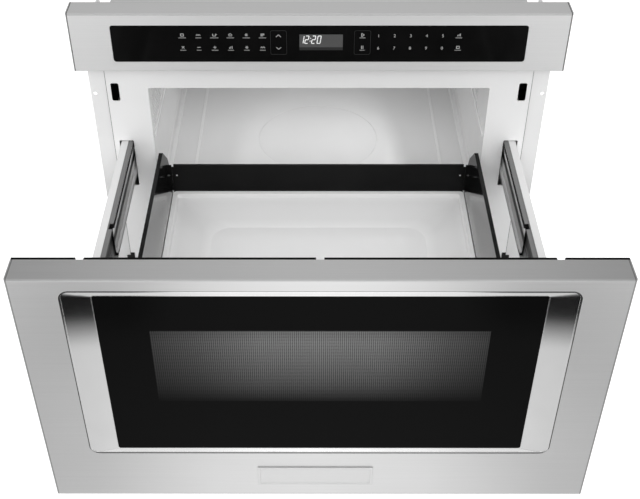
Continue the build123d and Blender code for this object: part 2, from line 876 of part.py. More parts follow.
# stainless fascia, folded into a shallow trough that is open towards the front plate
control_glass_middle = panel_bottom + control_glass_rise + control_glass_height / 2
shell_inner = panel_face + front_shell
with BuildPart() as control_panel:
    block((-half_front, half_front), (panel_face, front_y), (panel_bottom, panel_bottom + panel_height))
    fillet(control_panel.faces().sort_by(Axis.Y)[0].edges(), radius=front_edge_round)
    block(
        (-half_front + front_shell, half_front - front_shell),
        (shell_inner, front_y),
        (panel_bottom + front_shell, panel_bottom + panel_height - front_shell),
        Mode.SUBTRACT,
    )
    extrude(control_window(panel_face), amount=-3 * front_shell, mode=Mode.SUBTRACT)
save(control_panel, "control_panel")

# plastic carrier behind the glass: a pocket for the glass and a hole for the display
half_control_glass = control_glass_width / 2
half_control_height = control_glass_height / 2
carrier_back = shell_inner + carrier_depth
glass_back = panel_face + control_glass_thickness
with BuildPart() as control_carrier:
    block(
        around(0, half_control_glass + carrier_border),
        (shell_inner, carrier_back),
        around(control_glass_middle, half_control_height + carrier_rim),
    )
    extrude(control_window(shell_inner), amount=-(glass_back - shell_inner), mode=Mode.SUBTRACT)
    block(
        around(display_offset_x, half_display + display_fit),
        (shell_inner, carrier_back),
        around(control_glass_middle, display_height / 2 + display_fit),
        Mode.SUBTRACT,
    )
save(control_carrier, "control_carrier")

with BuildPart() as control_glass:
    with BuildSketch(Plane.XZ.offset(-panel_face)):
        with Locations((0, control_glass_middle)):
            RectangleRounded(control_glass_width, control_glass_height, control_glass_round)
    extrude(amount=-control_glass_thickness)
save(control_glass, "control_glass")

with BuildPart() as display_module:
    block(
        around(display_offset_x, half_display),
        (glass_back, carrier_back),
        around(control_glass_middle, display_height / 2),
    )
save(display_module, "display_module")

# the circuit board on the carrier's back: a transformer, two relays, a chip and a connector,
# each given as its place across the board, its width and its height
board_items = ((-190, 34, 28), (-120, 18, 16), (-88, 18, 16), (70, 26, 9), (150, 42, 12))
board_item_depth = 11.0
board_back = carrier_back + board_thickness
with BuildPart() as control_board:
    block(
        around(0, half_control_glass),
        (carrier_back, board_back),
        around(control_glass_middle, half_control_height),
    )
    for item_x, item_width, item_height in board_items:
        block(
            around(item_x, item_width / 2),
            (board_back, board_back + board_item_depth),
            around(control_glass_middle, item_height / 2),
        )
save(control_board, "control_board")

# ------------------------------------------------------------------ ball slides

slide_inner_rear = slide_front_closed + slide_length
slide_outer_front = slide_front_closed - travel
slide_middle_front = slide_front_closed + middle_setback - travel / 2
bracket_web = inner_web - slide_sheet
bracket_span = (plate_back, slide_inner_rear)
inner_member_span = (slide_front_closed, slide_inner_rear)
outer_member_span = (slide_outer_front, slide_outer_front + slide_length)
middle_member_span = (slide_middle_front, slide_middle_front + slide_length)
slide_top = slide_centre_height + slide_height / 2


def channel(side, web_face, web_sign, lip, height, y_span, sheet):
    """A C-shaped channel with its web at one distance from the middle and its lips at another."""
    block(sided(side, web_face, lip), y_span, around(slide_centre_height, height / 2))
    block(
        sided(side, web_face + web_sign * sheet, lip),
        y_span,
        around(slide_centre_height, height / 2 - sheet),
        Mode.SUBTRACT,
    )


for name, side in sides.items():
    # fixed member, screwed to the bracket beside the cavity, opening outwards
    with BuildPart() as slide_inner:
        channel(side, inner_web, 1, inner_tip, inner_height, inner_member_span, slide_sheet)
    save(slide_inner, f"slide_inner_{name}")

    # bracket: a channel from the cavity wall out to the fixed member
    with BuildPart() as slide_bracket:
        block(
            sided(side, cavity_outer_half, inner_web),
            bracket_span,
            around(slide_centre_height, half_bracket),
        )
        block(
            sided(side, cavity_outer_half, bracket_web),
            bracket_span,
            around(slide_centre_height, half_bracket - slide_sheet),
            Mode.SUBTRACT,
        )
    save(slide_bracket, f"slide_bracket_{name}")

    # travelling member on the drawer's arm, opening inwards
    with BuildPart() as slide_outer:
        channel(side, slide_web, -1, outer_lip, slide_height, outer_member_span, slide_sheet)
        block(
            sided(side, outer_lip, slide_web - slide_sheet),
            (slide_middle_front - stop_notch, slide_middle_front),
            (slide_top - slide_sheet, slide_top),
            Mode.SUBTRACT,
        )
    save(slide_outer, f"slide_outer_{name}")

    # floating member between the two, opening inwards
    with BuildPart() as slide_middle:
        channel(side, middle_web, -1, middle_lip, middle_height, middle_member_span, slide_sheet)
    save(slide_middle, f"slide_middle_{name}")

    # soft stop clipped over the front end of the floating member
    bumper_front = slide_middle_front - bumper_cap
    with BuildPart() as slide_bumper:
        block(
            sided(side, middle_web - slide_sheet, middle_web),
            (bumper_front, slide_middle_front),
            around(slide_centre_height, middle_height / 2 + bumper_cap),
        )
        for end in (-1, 1):
            bumper_edge = slide_centre_height + end * (middle_height / 2)
            block(
                sided(side, middle_lip, middle_web),
                (bumper_front, slide_middle_front + bumper_length),
                (bumper_edge, bumper_edge + end * bumper_cap),
            )
    save(slide_bumper, f"slide_bumper_{name}")


def ball_cage(web_outer, lip, inside_height, cage_middle):
    """Two steel strips joined by a web, with a row of balls along each, on both sides of the part."""
    race_rise = inside_height / 2 + ball_gap / 2
    ball_pitch = cage_length / balls_per_race
    ball_distance = web_outer - cage_sheet - ball_web_gap - ball_diameter / 2
    cage_span = around(cage_middle, cage_length / 2)
    block((web_outer - cage_sheet, web_outer), cage_span, around(slide_centre_height, race_rise))
    for end in (-1, 1):
        strip_z = slide_centre_height + end * race_rise
        block((lip, web_outer), cage_span, around(strip_z, cage_sheet / 2))
        with Locations((ball_distance, cage_middle, strip_z)):
            with GridLocations(1.0, ball_pitch, 1, balls_per_race):
                with Locations(Location((0, 0, 0), (0, 90, 0))):
                    Sphere(ball_diameter / 2)
    mirror(about=Plane.YZ)


# cage between the drawer's member and the floating one, and cage between that and the fixed one
outer_cage_web = slide_web - slide_sheet - cage_gap
outer_cage_middle = (middle_member_span[0] + outer_member_span[1]) / 2
inner_cage_web = middle_web - slide_sheet - cage_gap
inner_cage_middle = (inner_member_span[0] + middle_member_span[1]) / 2
with BuildPart() as ball_cages_outer:
    ball_cage(outer_cage_web, outer_lip + cage_gap, middle_height, outer_cage_middle)
save(ball_cages_outer, "ball_cages_outer")

with BuildPart() as ball_cages_inner:
    ball_cage(inner_cage_web, inner_cage_web - cage_width, inner_height, inner_cage_middle)
save(ball_cages_inner, "ball_cages_inner")

# ------------------------------------------------------------------ drawer arms, rack and pinion

arm_front = shell_back
arm_rear = arm_front + arm_length
arm_inner = slide_web
arm_outer = slide_web + arm_width
for name, side in sides.items():
    # painted channel that opens outwards and carries the travelling slide member
    with BuildPart() as arm:
        block(sided(side, arm_inner, arm_outer), (arm_front, arm_rear), (arm_top - arm_height, arm_top))
        block(
            sided(side, arm_inner + arm_sheet, arm_outer),
            (arm_front, arm_rear),
            (arm_top - arm_height + arm_sheet, arm_top - arm_sheet),
            Mode.SUBTRACT,
        )
    save(arm, f"arm_{name}")

# rack under the right arm, its teeth pointing down
pitch_line_half = pitch / 4 - gear_backlash / 4
flank = tan(radians(pressure_angle))
tip_z = rack_root - addendum - dedendum
rack_first = pinion_y - travel - rack_lead * pitch
tooth_root_half = pitch_line_half + dedendum * flank
tooth_tip_half = pitch_line_half - addendum * flank
with BuildPart() as drive_rack:
    block(
        (gear_inner, gear_outer),
        (rack_first, rack_first + rack_teeth * pitch),
        (rack_root, rack_root + rack_body),
    )
    with BuildSketch(Plane.YZ.offset(gear_inner)):
        for tooth in range(rack_teeth):
            tooth_y = rack_first + (tooth + 0.5) * pitch
            with BuildLine():
                Polyline(
                    (tooth_y - tooth_root_half, rack_root),
                    (tooth_y - tooth_tip_half, tip_z),
                    (tooth_y + tooth_tip_half, tip_z),
                    (tooth_y + tooth_root_half, rack_root),
                    close=True,
                )
            make_face()
    extrude(amount=gear_width)
save(drive_rack, "drive_rack")


def involute_tooth(base_radius, pitch_r, tip_radius, half_angle, centre_angle, points=6):
    """The two flanks of one gear tooth as points, from the base circle to the tip and back."""
    pitch_roll = sqrt((pitch_r / base_radius) ** 2 - 1)
    pitch_turn = pitch_roll - atan2(pitch_roll, 1)
    tip_roll = sqrt((tip_radius / base_radius) ** 2 - 1)
    flank_points = []
    for step in range(points):
        roll = tip_roll * step / (points - 1)
        radius = base_radius * sqrt(1 + roll ** 2)
        turn = half_angle + pitch_turn - (roll - atan2(roll, 1))
        flank_points.append((radius, turn))
    left = [(r * cos(centre_angle - a), r * sin(centre_angle - a)) for r, a in flank_points]
    right = [(r * cos(centre_angle + a), r * sin(centre_angle + a)) for r, a in reversed(flank_points)]
    return left + right


# pinion on the motor's shaft, one of its gaps facing straight up to a tooth of the rack
base_radius = pitch_radius * cos(radians(pressure_angle))
tip_radius = pitch_radius + addendum
root_radius = pitch_radius - dedendum
tooth_foot = 0.9 * root_radius
half_tooth_angle = pi / (2 * pinion_teeth) - gear_backlash / (4 * pitch_radius)
shaft_inner = gear_inner - shaft_stub
shaft_middle_x = (gear_outer + shaft_inner) / 2
rack_phase = ((pinion_y - rack_first) / pitch - 0.5) % 1.0
pinion_turn = pi / 2 + (rack_phase + 0.5) * 2 * pi / pinion_teeth
gear_plane = Plane((gear_inner, pinion_y, pinion_height), x_dir=(0, 1, 0), z_dir=(1, 0, 0))
with BuildPart() as drive_pinion:
    with BuildSketch(gear_plane):
        Circle(root_radius)
        for tooth in range(pinion_teeth):
            tooth_angle = pinion_turn + tooth * 2 * pi / pinion_teeth
            flanks = involute_tooth(base_radius, pitch_radius, tip_radius, half_tooth_angle, tooth_angle)
            low = tooth_angle - half_tooth_angle
            high = tooth_angle + half_tooth_angle
            first = (tooth_foot * cos(low), tooth_foot * sin(low))
            last = (tooth_foot * cos(high), tooth_foot * sin(high))
            with BuildLine():
                Polyline(first, *flanks, last, close=True)
            make_face()
    extrude(amount=gear_width)
    rod((shaft_middle_x, pinion_y, pinion_height), shaft_radius, gear_outer - shaft_inner, "X")
save(drive_pinion, "drive_pinion")

# gearmotor beside the cavity, on a foot that stands on the pan
motor_gear_gap = 6.0
motor_cavity_gap = 4.0
gearbox_half = 18.0
gearbox_lead = 20.0
gearbox_tail = 24.0
motor_foot_inset = 2.0
motor_outer = gear_inner - motor_gear_gap
motor_inner = cavity_outer_half + motor_cavity_gap
gearbox_front = pinion_y - gearbox_lead
gearbox_rear = pinion_y + gearbox_tail
gearbox_round = 4.0
motor_radius = 12.5
motor_length = 52.0
motor_foot_x = (motor_inner + motor_foot_inset, motor_outer - motor_foot_inset)
motor_foot_sheet = 2.0
motor_foot_depth = 32.0
shaft_hole_depth = 13.0
motor_middle_x = (motor_inner + motor_outer) / 2
shaft_hole_x = motor_outer - shaft_hole_depth / 2
with BuildPart() as drive_motor:
    block((motor_inner, motor_outer), (gearbox_front, gearbox_rear), around(pinion_height, gearbox_half))
    fillet(drive_motor.edges().filter_by(Axis.X), radius=gearbox_round)
    lengthwise((motor_middle_x, pinion_height), motor_radius, gearbox_rear, gearbox_rear + motor_length)
    block(motor_foot_x, (gearbox_front, gearbox_front + motor_foot_sheet), (case_sheet, pinion_height))
    block(
        motor_foot_x,
        (gearbox_front, gearbox_front + motor_foot_depth),
        (case_sheet, case_sheet + motor_foot_sheet),
    )
    rod((shaft_hole_x, pinion_y, pinion_height), shaft_hole_radius, shaft_hole_depth, "X", Mode.SUBTRACT)
save(drive_motor, "drive_motor")

# ------------------------------------------------------------------ drawer front

half_opening = opening_width / 2


def window_line(plane_y, inset):
    """The outline of the opening in the drawer front, taken in all round."""
    with BuildSketch(Plane.XZ.offset(-plane_y)) as outline:
        with Locations((0, opening_middle)):
            RectangleRounded(opening_width - 2 * inset, opening_height - 2 * inset, opening_round - inset)
    return outline.sketch


with BuildPart() as door_skin:
    block((-half_front, half_front), (door_face, shell_back), (door_lift, door_top))
    fillet(door_skin.faces().sort_by(Axis.Y)[0].edges(), radius=front_edge_round)
    block(
        (-half_front + front_shell, half_front - front_shell),
        (door_face + front_shell, shell_back),
        (door_lift + front_shell, door_top - front_shell),
        Mode.SUBTRACT,
    )
    extrude(window_line(door_face, 0), amount=-3 * front_shell, mode=Mode.SUBTRACT)
save(door_skin, "door_skin")

def glass_block(front, rear, inset, mode=Mode.ADD):
    """A round-cornered block with the window pane's outline, taken in all round."""
    with BuildSketch(Plane.XZ.offset(-front)) as outline:
        with Locations((0, glass_middle)):
            RectangleRounded(glass_width - 2 * inset, glass_height - 2 * inset, glass_round)
    extrude(outline.sketch, amount=front - rear, mode=mode)


# polished surround: set back in the skin with a rounded rim, it slopes in to the glass and laps
# both from behind
half_glass_height = glass_height / 2
bezel_front = door_face + bezel_drop
bezel_back = glass_recess + glass_thickness + bezel_sheet
bezel_lap_front = door_face + front_shell
glass_front = door_face + glass_recess
glass_rear = glass_front + glass_thickness
with BuildPart() as window_bezel:
    extrude(window_line(bezel_front, bezel_fit), amount=-(bezel_back - bezel_drop))
    fillet(window_bezel.faces().sort_by(Axis.Y)[0].edges(), radius=bezel_edge_round)
    block(
        around(0, half_opening + bezel_lap),
        (bezel_lap_front, bezel_lap_front + bezel_sheet),
        around(opening_middle, opening_height / 2 + bezel_lap - 1),
    )
    with BuildSketch(Plane.XZ.offset(-glass_front)) as glass_line:
        with Locations((0, glass_middle)):
            RectangleRounded(glass_width, glass_height, glass_round)
    loft([window_line(bezel_front, bezel_fit + bezel_edge), glass_line.sketch], mode=Mode.SUBTRACT)
    glass_block(glass_front, glass_rear, 0, Mode.SUBTRACT)
    glass_block(door_face, door_face + 2 * bezel_back, glass_ledge, Mode.SUBTRACT)
save(window_bezel, "window_bezel")

with BuildPart() as window_glass:
    glass_block(glass_front, glass_rear, glass_gap)
    chamfer(window_glass.faces().sort_by(Axis.Y)[0].edges(), length=glass_chamfer)
save(window_glass, "window_glass")

# inner pressing: a back plate with a raised wall round the window and one round the rim
half_aperture = aperture_width / 2
half_aperture_height = aperture_height / 2
frame_inset = front_shell + frame_fit
frame_back = shell_back
frame_front = frame_back - door_frame_wall
plate_front = frame_back - door_frame_sheet
window_wall_front = door_face + screen_depth + screen_sheet
rim_half_width = half_front - rim_side_gap
rim_low = door_lift + rim_foot_gap
rim_high = door_top - rim_head_gap
latch_x = (latch_slot_inner + latch_slot_outer) / 2
latch_window_half = latch_thickness / 2 + latch_side_gap
latch_window_span = (latch_slot_middle - latch_window_low, latch_slot_middle + latch_window_high)
latch_pin_y = door_face + latch_pin_depth
latch_pin_z = latch_slot_middle - latch_pin_drop
ear_distance = latch_thickness / 2 + ear_sheet
ear_span = (latch_pin_z - ear_drop, latch_pin_z + ear_rise)
latch_pin_length = 2 * ear_distance + ear_sheet
window_span = around(window_middle, half_aperture_height)
window_wall_span = around(window_middle, half_aperture_height + door_frame_sheet)
with BuildPart() as door_frame:
    block(
        around(0, half_front - frame_inset),
        (plate_front, frame_back),
        (door_lift + frame_inset, door_top - frame_inset),
    )
    block(around(0, rim_half_width), (frame_front, frame_back), (rim_low, rim_high))
    block(
        around(0, rim_half_width - door_frame_sheet),
        (frame_front, plate_front),
        (rim_low + door_frame_sheet, rim_high - door_frame_sheet),
        Mode.SUBTRACT,
    )
    block(around(0, half_aperture + door_frame_sheet), (window_wall_front, frame_back), window_wall_span)
    block(around(0, half_aperture), (window_wall_front, frame_back), window_span, Mode.SUBTRACT)
    for side in sides.values():
        block(
            sided(side, latch_x - latch_window_half, latch_x + latch_window_half),
            (frame_front, frame_back),
            latch_window_span,
            Mode.SUBTRACT,
        )
        for ear in (-1, 1):
            ear_x = latch_x + ear * ear_distance
            block(
                sided(side, ear_x - ear_sheet / 2, ear_x + ear_sheet / 2),
                (latch_pin_y - ear_reach, frame_back),
                ear_span,
            )
            block(
                sided(side, ear_x - ear * ear_sheet / 2, ear_x + ear * ear_foot),
                (plate_front, frame_back),
                ear_span,
            )
        rod((side * latch_x, latch_pin_y, latch_pin_z), latch_pin / 2, latch_pin_length, "X")
save(door_frame, "door_frame")

# perforated screen across the front of the window walls
with BuildPart() as mesh_screen:
    block(
        around(0, half_aperture + door_frame_sheet),
        (door_face + screen_depth, window_wall_front),
        window_wall_span,
    )
save(mesh_screen, "mesh_screen")

# black moulding over the back of the drawer front, with three notches in its top edge
cover_half = half_front - cover_inset
moulding_span = (shell_back, door_back)
with BuildPart() as choke_cover:
    block((-cover_half, cover_half), moulding_span, (door_lift + cover_inset, door_top - cover_top_gap))
    block(around(0, half_aperture), moulding_span, window_span, Mode.SUBTRACT)
    for notch_x in (-cover_notch_offset, 0, cover_notch_offset):
        block(
            around(notch_x, cover_notch_width / 2),
            moulding_span,
            (door_top - cover_notch_depth, door_top),
            Mode.SUBTRACT,
        )
    for side in sides.values():
        block(
            sided(side, latch_x - latch_window_half, latch_x + latch_window_half),
            moulding_span,
            latch_window_span,
            Mode.SUBTRACT,
        )
        block(
            sided(side, arm_inner - slide_flange - arm_fit, arm_outer + arm_fit),
            moulding_span,
            (rack_root - arm_fit, arm_top + arm_fit),
            Mode.SUBTRACT,
        )
save(choke_cover, "choke_cover")

# inner window pane, flush with the back of the moulding
with BuildPart() as inner_glass:
    block(around(0, half_aperture), (door_back - inner_glass_thickness, door_back), window_span)
save(inner_glass, "inner_glass")

# bare plate low on the drawer front
badge_low = door_lift + badge_rise
with BuildPart() as badge_plate:
    block(
        around(badge_offset_x, badge_width / 2),
        (door_face - badge_thickness, door_face),
        (badge_low, badge_low + badge_height),
    )
    fillet(badge_plate.edges().filter_by(Axis.Y), radius=badge_round)
    chamfer(badge_plate.faces().sort_by(Axis.Y)[0].edges(), length=badge_chamfer)
save(badge_plate, "badge_plate")

# sprung latch hooks that pivot inside the drawer front
hook_length = door_thickness - latch_pin_depth + latch_reach
hook_tip = latch_pin_y + hook_length
hook_top = latch_pin_z + latch_height / 2
for name, side in sides.items():
    hook_span = sided(side, latch_x - latch_thickness / 2, latch_x + latch_thickness / 2)
    with BuildPart() as latch:
        block(hook_span, (latch_pin_y - latch_heel, hook_tip), around(latch_pin_z, latch_height / 2))
        block(
            hook_span,
            (hook_tip - latch_catch - latch_notch, hook_tip - latch_catch),
            (hook_top - latch_notch_depth, hook_top),
            Mode.SUBTRACT,
        )
        chamfer(latch.faces().sort_by(Axis.Y)[-1].edges().filter_by(Axis.X), length=latch_nose)
        pivot = (side * latch_x, latch_pin_y, latch_pin_z)
        rod(pivot, latch_pin / 2 + latch_pin_clearance, 2 * latch_thickness, "X", Mode.SUBTRACT)
    save(latch, f"latch_{name}")

# switches that the hooks press when the drawer is shut: one on the left, two on the right
switch_front = hook_tip + travel + switch_gap
switch_body_front = switch_front + switch_plunger
switch_places = (
    (-1, latch_pin_z - switch_height / 2),
    (1, latch_pin_z - switch_half_gap - switch_height),
    (1, latch_pin_z + switch_half_gap),
)
with BuildPart() as interlock_switches:
    for side, switch_low in switch_places:
        block(
            sided(side, latch_x - switch_half_width, half_case - case_sheet),
            (switch_body_front, switch_body_front + switch_depth),
            (switch_low, switch_low + switch_height),
        )
        block(
            sided(side, latch_x - switch_plunger, latch_x + switch_plunger),
            (switch_front, switch_body_front),
            (switch_low + switch_plunger, switch_low + switch_height - switch_plunger),
        )
save(interlock_switches, "interlock_switches")

# small black stops at the foot of the front plate, each stepping back on to its flange
stop_height = 13.25
stop_size = 5.5
stop_rise = 1.0
with BuildPart() as front_bumpers:
    for side in sides.values():
        block(
            sided(side, half_case - stop_size, half_case),
            (front_y - stop_rise, front_y),
            (stop_height - stop_size, stop_height + stop_size),
        )
        block(
            sided(side, half_case, half_case + stop_size),
            (front_y - stop_rise, plate_back),
            (stop_height - stop_size, stop_height),
        )
save(front_bumpers, "front_bumpers")

# ------------------------------------------------------------------ oven drawer tub

hem_inner = tub_half_width - tub_hem
wall_foot = hem_inner - tub_lean
tail_end = tub_back + tub_tail
side_hole_x = wall_foot + side_hole_inset
side_hole_z = tub_back_top - tub_hole_drop


def wall_section(side, inset, low):
    """A side wall's outline from the front: upright outside, leaning in below its rolled top."""
    with BuildSketch(Plane.XZ.offset(-door_back)) as section:
        with BuildLine():
            Polyline(
                (side * (tub_half_width - inset), low),
                (side * (tub_half_width - inset), tub_top_height - inset),
                (side * (hem_inner + inset), tub_top_height - inset),
                (side * (wall_foot + inset), tray_rim_height),
                (side * (wall_foot + inset), low),
                close=True,
            )
        make_face()
    return section.sketch


for name, side in sides.items():
    with BuildPart() as tub_side:
        extrude(wall_section(side, 0, tub_floor_height), amount=-(tub_depth + tub_tail))
        extrude(
            wall_section(side, tub_sheet, tub_floor_height),
            amount=-(tub_depth + tub_tail),
            mode=Mode.SUBTRACT,
        )
        # the rear end falls away from the top of the wall to the height of the back
        with BuildSketch(Plane.YZ.offset(side * (tub_half_width + tub_sheet))) as fall:
            with BuildLine():
                Polyline(
                    (tub_back - tub_sheet, tub_top_height + tub_sheet),
                    (tail_end + tub_sheet, tub_top_height + tub_sheet),
                    (tail_end + tub_sheet, tub_back_top),
                    (tail_end, tub_back_top),
                    close=True,
                )
            make_face()
        extrude(fall.sketch, amount=-2 * side * (tub_half_width - wall_foot), mode=Mode.SUBTRACT)
        block(
            sided(side, wall_foot - tub_sheet, hem_inner - 2 * tub_sheet),
            (tub_back, tub_back + tub_sheet),
            (tray_rim_height + tub_corner_gap, tub_back_top),
        )
        rod((side * side_hole_x, tub_back, side_hole_z), tub_hole / 2, 6 * tub_sheet, "Y", Mode.SUBTRACT)
    save(tub_side, f"tub_side_{name}")

# back wall between the side walls, with a rolled top and notched top corners
back_half = wall_foot - tub_sheet - tub_seam
back_hole_x = back_half - tub_hole_inset
with BuildPart() as tub_back_wall:
    block(
        around(0, back_half),
        (tub_back, tub_back + tub_sheet),
        (tub_floor_height + tub_sheet, tub_back_top),
    )
    block(around(0, back_half), (tub_back, tub_back + tub_roll), (tub_back_top - tub_sheet, tub_back_top))
    for end in (-1, 1):
        block(
            sided(end, back_half - tub_notch_width, back_half),
            (tub_back - 1, tub_back + tub_roll + 1),
            (tub_back_top - tub_notch_depth, tub_back_top),
            Mode.SUBTRACT,
        )
        rod((end * back_hole_x, tub_back, side_hole_z), tub_hole / 2, 6 * tub_sheet, "Y", Mode.SUBTRACT)
save(tub_back_wall, "tub_back")

# floor frame that ties the walls together, open in the middle so that the microwaves reach the
# tray, with upturned edges that carry it
ledge_height = tray_rim_height - tray_thickness
upturn_outer = wall_foot - tub_sheet
tub_floor_span = (tub_floor_height, tub_floor_height + tub_sheet)
with BuildPart() as tub_floor:
    block(around(0, wall_foot), (door_back, tub_back), tub_floor_span)
    block(
        around(0, wall_foot - tub_floor_ledge),
        (door_back + tub_floor_ledge, tub_back - tub_floor_ledge),
        tub_floor_span,
        Mode.SUBTRACT,
    )
    for side in sides.values():
        block(
            sided(side, upturn_outer - tub_sheet, upturn_outer),
            (door_back, tub_back),
            (tub_floor_height, ledge_height - tray_lip),
        )
save(tub_floor, "tub_floor")

# dished glass-ceramic tray lying on the floor frame's upturned edges, under a raised flat rim
tray_front = door_back + tray_clearance
tray_back = tub_back - tray_clearance
tray_middle_y = (tray_front + tray_back) / 2
tray_length = tray_back - tray_front
tray_low = ledge_height - tray_lip
dish_floor = tray_rim_height - tray_dish
shoulder_height = tray_rim_height - tray_lip
shoulder_inset = tray_rim + tray_shoulder
shoulder_corner = tray_rim_corner + tray_shoulder


def tray_outline(height, inset, corner):
    """The tray's rounded outline at one height, taken in from its edge."""
    with BuildSketch(Plane.XY.offset(height)) as outline:
        with Locations((0, tray_middle_y)):
            RectangleRounded(2 * (tray_half_width - inset), tray_length - 2 * inset, corner)
    return outline.sketch


with BuildPart() as glass_tray:
    extrude(tray_outline(tray_low, 0, tray_corner), amount=tray_rim_height - tray_low)
    loft([
        tray_outline(tray_low, shoulder_inset + tray_thickness, shoulder_corner),
        tray_outline(dish_floor - tray_thickness, tray_slope + tray_thickness, dish_corner),
    ])
    loft([
        tray_outline(tray_rim_height, tray_rim, tray_rim_corner),
        tray_outline(shoulder_height, shoulder_inset, shoulder_corner),
    ], mode=Mode.SUBTRACT)
    loft([
        tray_outline(shoulder_height, shoulder_inset, shoulder_corner),
        tray_outline(dish_floor, tray_slope, dish_corner),
    ], mode=Mode.SUBTRACT)
save(glass_tray, "glass_tray")

# ------------------------------------------------------------------ fasteners


def screw(place, axis):
    """A flat round screw head, centred on a point half its rise above the face it sits on."""
    rod(place, screw_head / 2, screw_rise, axis)


# screws that hold the arms to the drawer front's pressing, in from its front side
door_screw_y = plate_front - screw_rise / 2
arm_bottom = arm_top - arm_height
with BuildPart() as door_screws:
    for side in sides.values():
        for screw_z in (arm_top - arm_screw_inset, arm_top - arm_height / 2, arm_bottom + arm_screw_inset):
            screw((side * (arm_inner + arm_width / 2), door_screw_y, screw_z), "Y")
save(door_screws, "door_screws")

# screws round the rear panel and down the flanges' return legs, and one low head on each side
# of the front plate
rear_screw_y = rear_y + screw_rise / 2
rear_screw_x = half_case - rear_screw_inset
flange_screw_x = half_case + plate_sheet + screw_rise / 2
flange_screw_y = plate_back + flange_return - flange_screw_inset
flange_screw_heights = (flange_screw_end, case_height / 2, case_height - flange_screw_end)
plate_screw_x = half_case - plate_screw_inset
with BuildPart() as case_screws:
    for screw_x in (-rear_screw_x, -half_case / 3, half_case / 3, rear_screw_x):
        for screw_z in (rear_screw_inset, case_height - rear_screw_inset):
            screw((screw_x, rear_screw_y, screw_z), "Y")
    for side in sides.values():
        for screw_z in flange_screw_heights:
            screw((side * flange_screw_x, flange_screw_y, screw_z), "X")
        plate_screw_axis = (side * plate_screw_x, plate_screw_height)
        lengthwise(plate_screw_axis, plate_screw_radius, front_y - plate_screw_rise, front_y)
save(case_screws, "case_screws")
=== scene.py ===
import json
import math

import bpy
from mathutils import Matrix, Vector


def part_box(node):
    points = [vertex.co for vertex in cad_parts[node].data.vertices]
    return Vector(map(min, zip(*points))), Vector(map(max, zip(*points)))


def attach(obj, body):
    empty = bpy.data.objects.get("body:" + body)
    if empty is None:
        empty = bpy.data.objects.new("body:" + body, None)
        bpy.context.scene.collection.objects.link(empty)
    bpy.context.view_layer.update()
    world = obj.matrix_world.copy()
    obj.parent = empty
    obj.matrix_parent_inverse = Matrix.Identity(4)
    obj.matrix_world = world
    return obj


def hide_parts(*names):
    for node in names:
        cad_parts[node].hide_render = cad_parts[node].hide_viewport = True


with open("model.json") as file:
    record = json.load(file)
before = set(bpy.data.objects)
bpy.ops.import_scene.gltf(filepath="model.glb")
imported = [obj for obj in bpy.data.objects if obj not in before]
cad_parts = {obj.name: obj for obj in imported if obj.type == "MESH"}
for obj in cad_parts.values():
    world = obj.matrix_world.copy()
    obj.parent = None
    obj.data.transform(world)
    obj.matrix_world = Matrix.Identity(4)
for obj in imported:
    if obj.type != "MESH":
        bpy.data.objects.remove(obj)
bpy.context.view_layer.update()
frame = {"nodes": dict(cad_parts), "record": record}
nodes = frame["nodes"]
bpy.ops.object.select_all(action="DESELECT")

MM = 0.001
SIDES = (("left", -1.0), ("right", 1.0))


# ------------------------------------------------------------------ shader networks


def grey(level):
    """A neutral colour."""
    return (level, level, level, 1.0)


def about(middle, swing, noise):
    """A level that a noise swings about its middle, by this much from end to end."""
    return middle - swing / 2 + swing * noise


class Wire:
    """A socket in a node tree. Sums and products of wires add their Math nodes."""

    def __init__(self, network, socket):
        self.network = network
        self.socket = socket

    def maths(self, operation, first, second=0.0):
        return self.network.node("ShaderNodeMath", {"operation": operation}, {0: first, 1: second})

    def __add__(self, other):
        return self.maths("ADD", self, other)

    def __radd__(self, other):
        return self.maths("ADD", other, self)

    def __sub__(self, other):
        return self.maths("SUBTRACT", self, other)

    def __rsub__(self, other):
        return self.maths("SUBTRACT", other, self)

    def __mul__(self, other):
        return self.maths("MULTIPLY", self, other)

    def __rmul__(self, other):
        return self.maths("MULTIPLY", other, self)

    def __truediv__(self, other):
        return self.maths("DIVIDE", self, other)

    def above(self, edge):
        return self.maths("GREATER_THAN", self, edge)

    def below(self, edge):
        return self.maths("LESS_THAN", self, edge)

    def larger(self, other):
        return self.maths("MAXIMUM", self, other)

    def size(self):
        return self.maths("ABSOLUTE", self)

    def folded(self, half_pitch):
        """Distance to the nearest line of a row with this half pitch."""
        return self.maths("PINGPONG", self, half_pitch)


class Network:
    """A node tree that is built by naming each node's type, settings and sockets."""

    def __init__(self, tree):
        self.tree = tree

    def node(self, kind, settings=None, sockets=None, out=0):
        """Add a node and return the wire of one output, or of each output that out lists."""
        made = self.tree.nodes.new(kind)
        for name, value in (settings or {}).items():
            if name == "stops":
                self.set_stops(made.color_ramp, value)
            else:
                setattr(made, name, value)
        for name, value in (sockets or {}).items():
            self.plug(made.inputs[name], value)
        if isinstance(out, tuple):
            return [Wire(self, made.outputs[name]) for name in out]
        return Wire(self, made.outputs[out])

    def set_stops(self, ramp, stops):
        while len(ramp.elements) < len(stops):
            ramp.elements.new(1.0)
        for element, (place, level) in zip(ramp.elements, stops):
            element.position = place
            element.color = grey(level)

    def plug(self, socket, value):
        if isinstance(value, Wire):
            self.tree.links.new(value.socket, socket)
        else:
            socket.default_value = value

    def split(self, vector):
        return self.node("ShaderNodeSeparateXYZ", {}, {0: vector}, out=(0, 1, 2))

    def ramp(self, value, *stops):
        """A level that follows a value through stops, each a place and a level."""
        return self.node("ShaderNodeValToRGB", {"stops": stops}, {"Fac": value})

    def mix(self, factor, first, second):
        return self.node(
            "ShaderNodeMix", {"data_type": "RGBA"}, {0: factor, 6: first, 7: second}, out=2,
        )

    def slope(self, value, first, last, start, end):
        """A straight change from the start level at the first place to the end level at the last."""
        return self.node("ShaderNodeMapRange", {}, {
            "Value": value, "From Min": first, "From Max": last, "To Min": start, "To Max": end,
        })


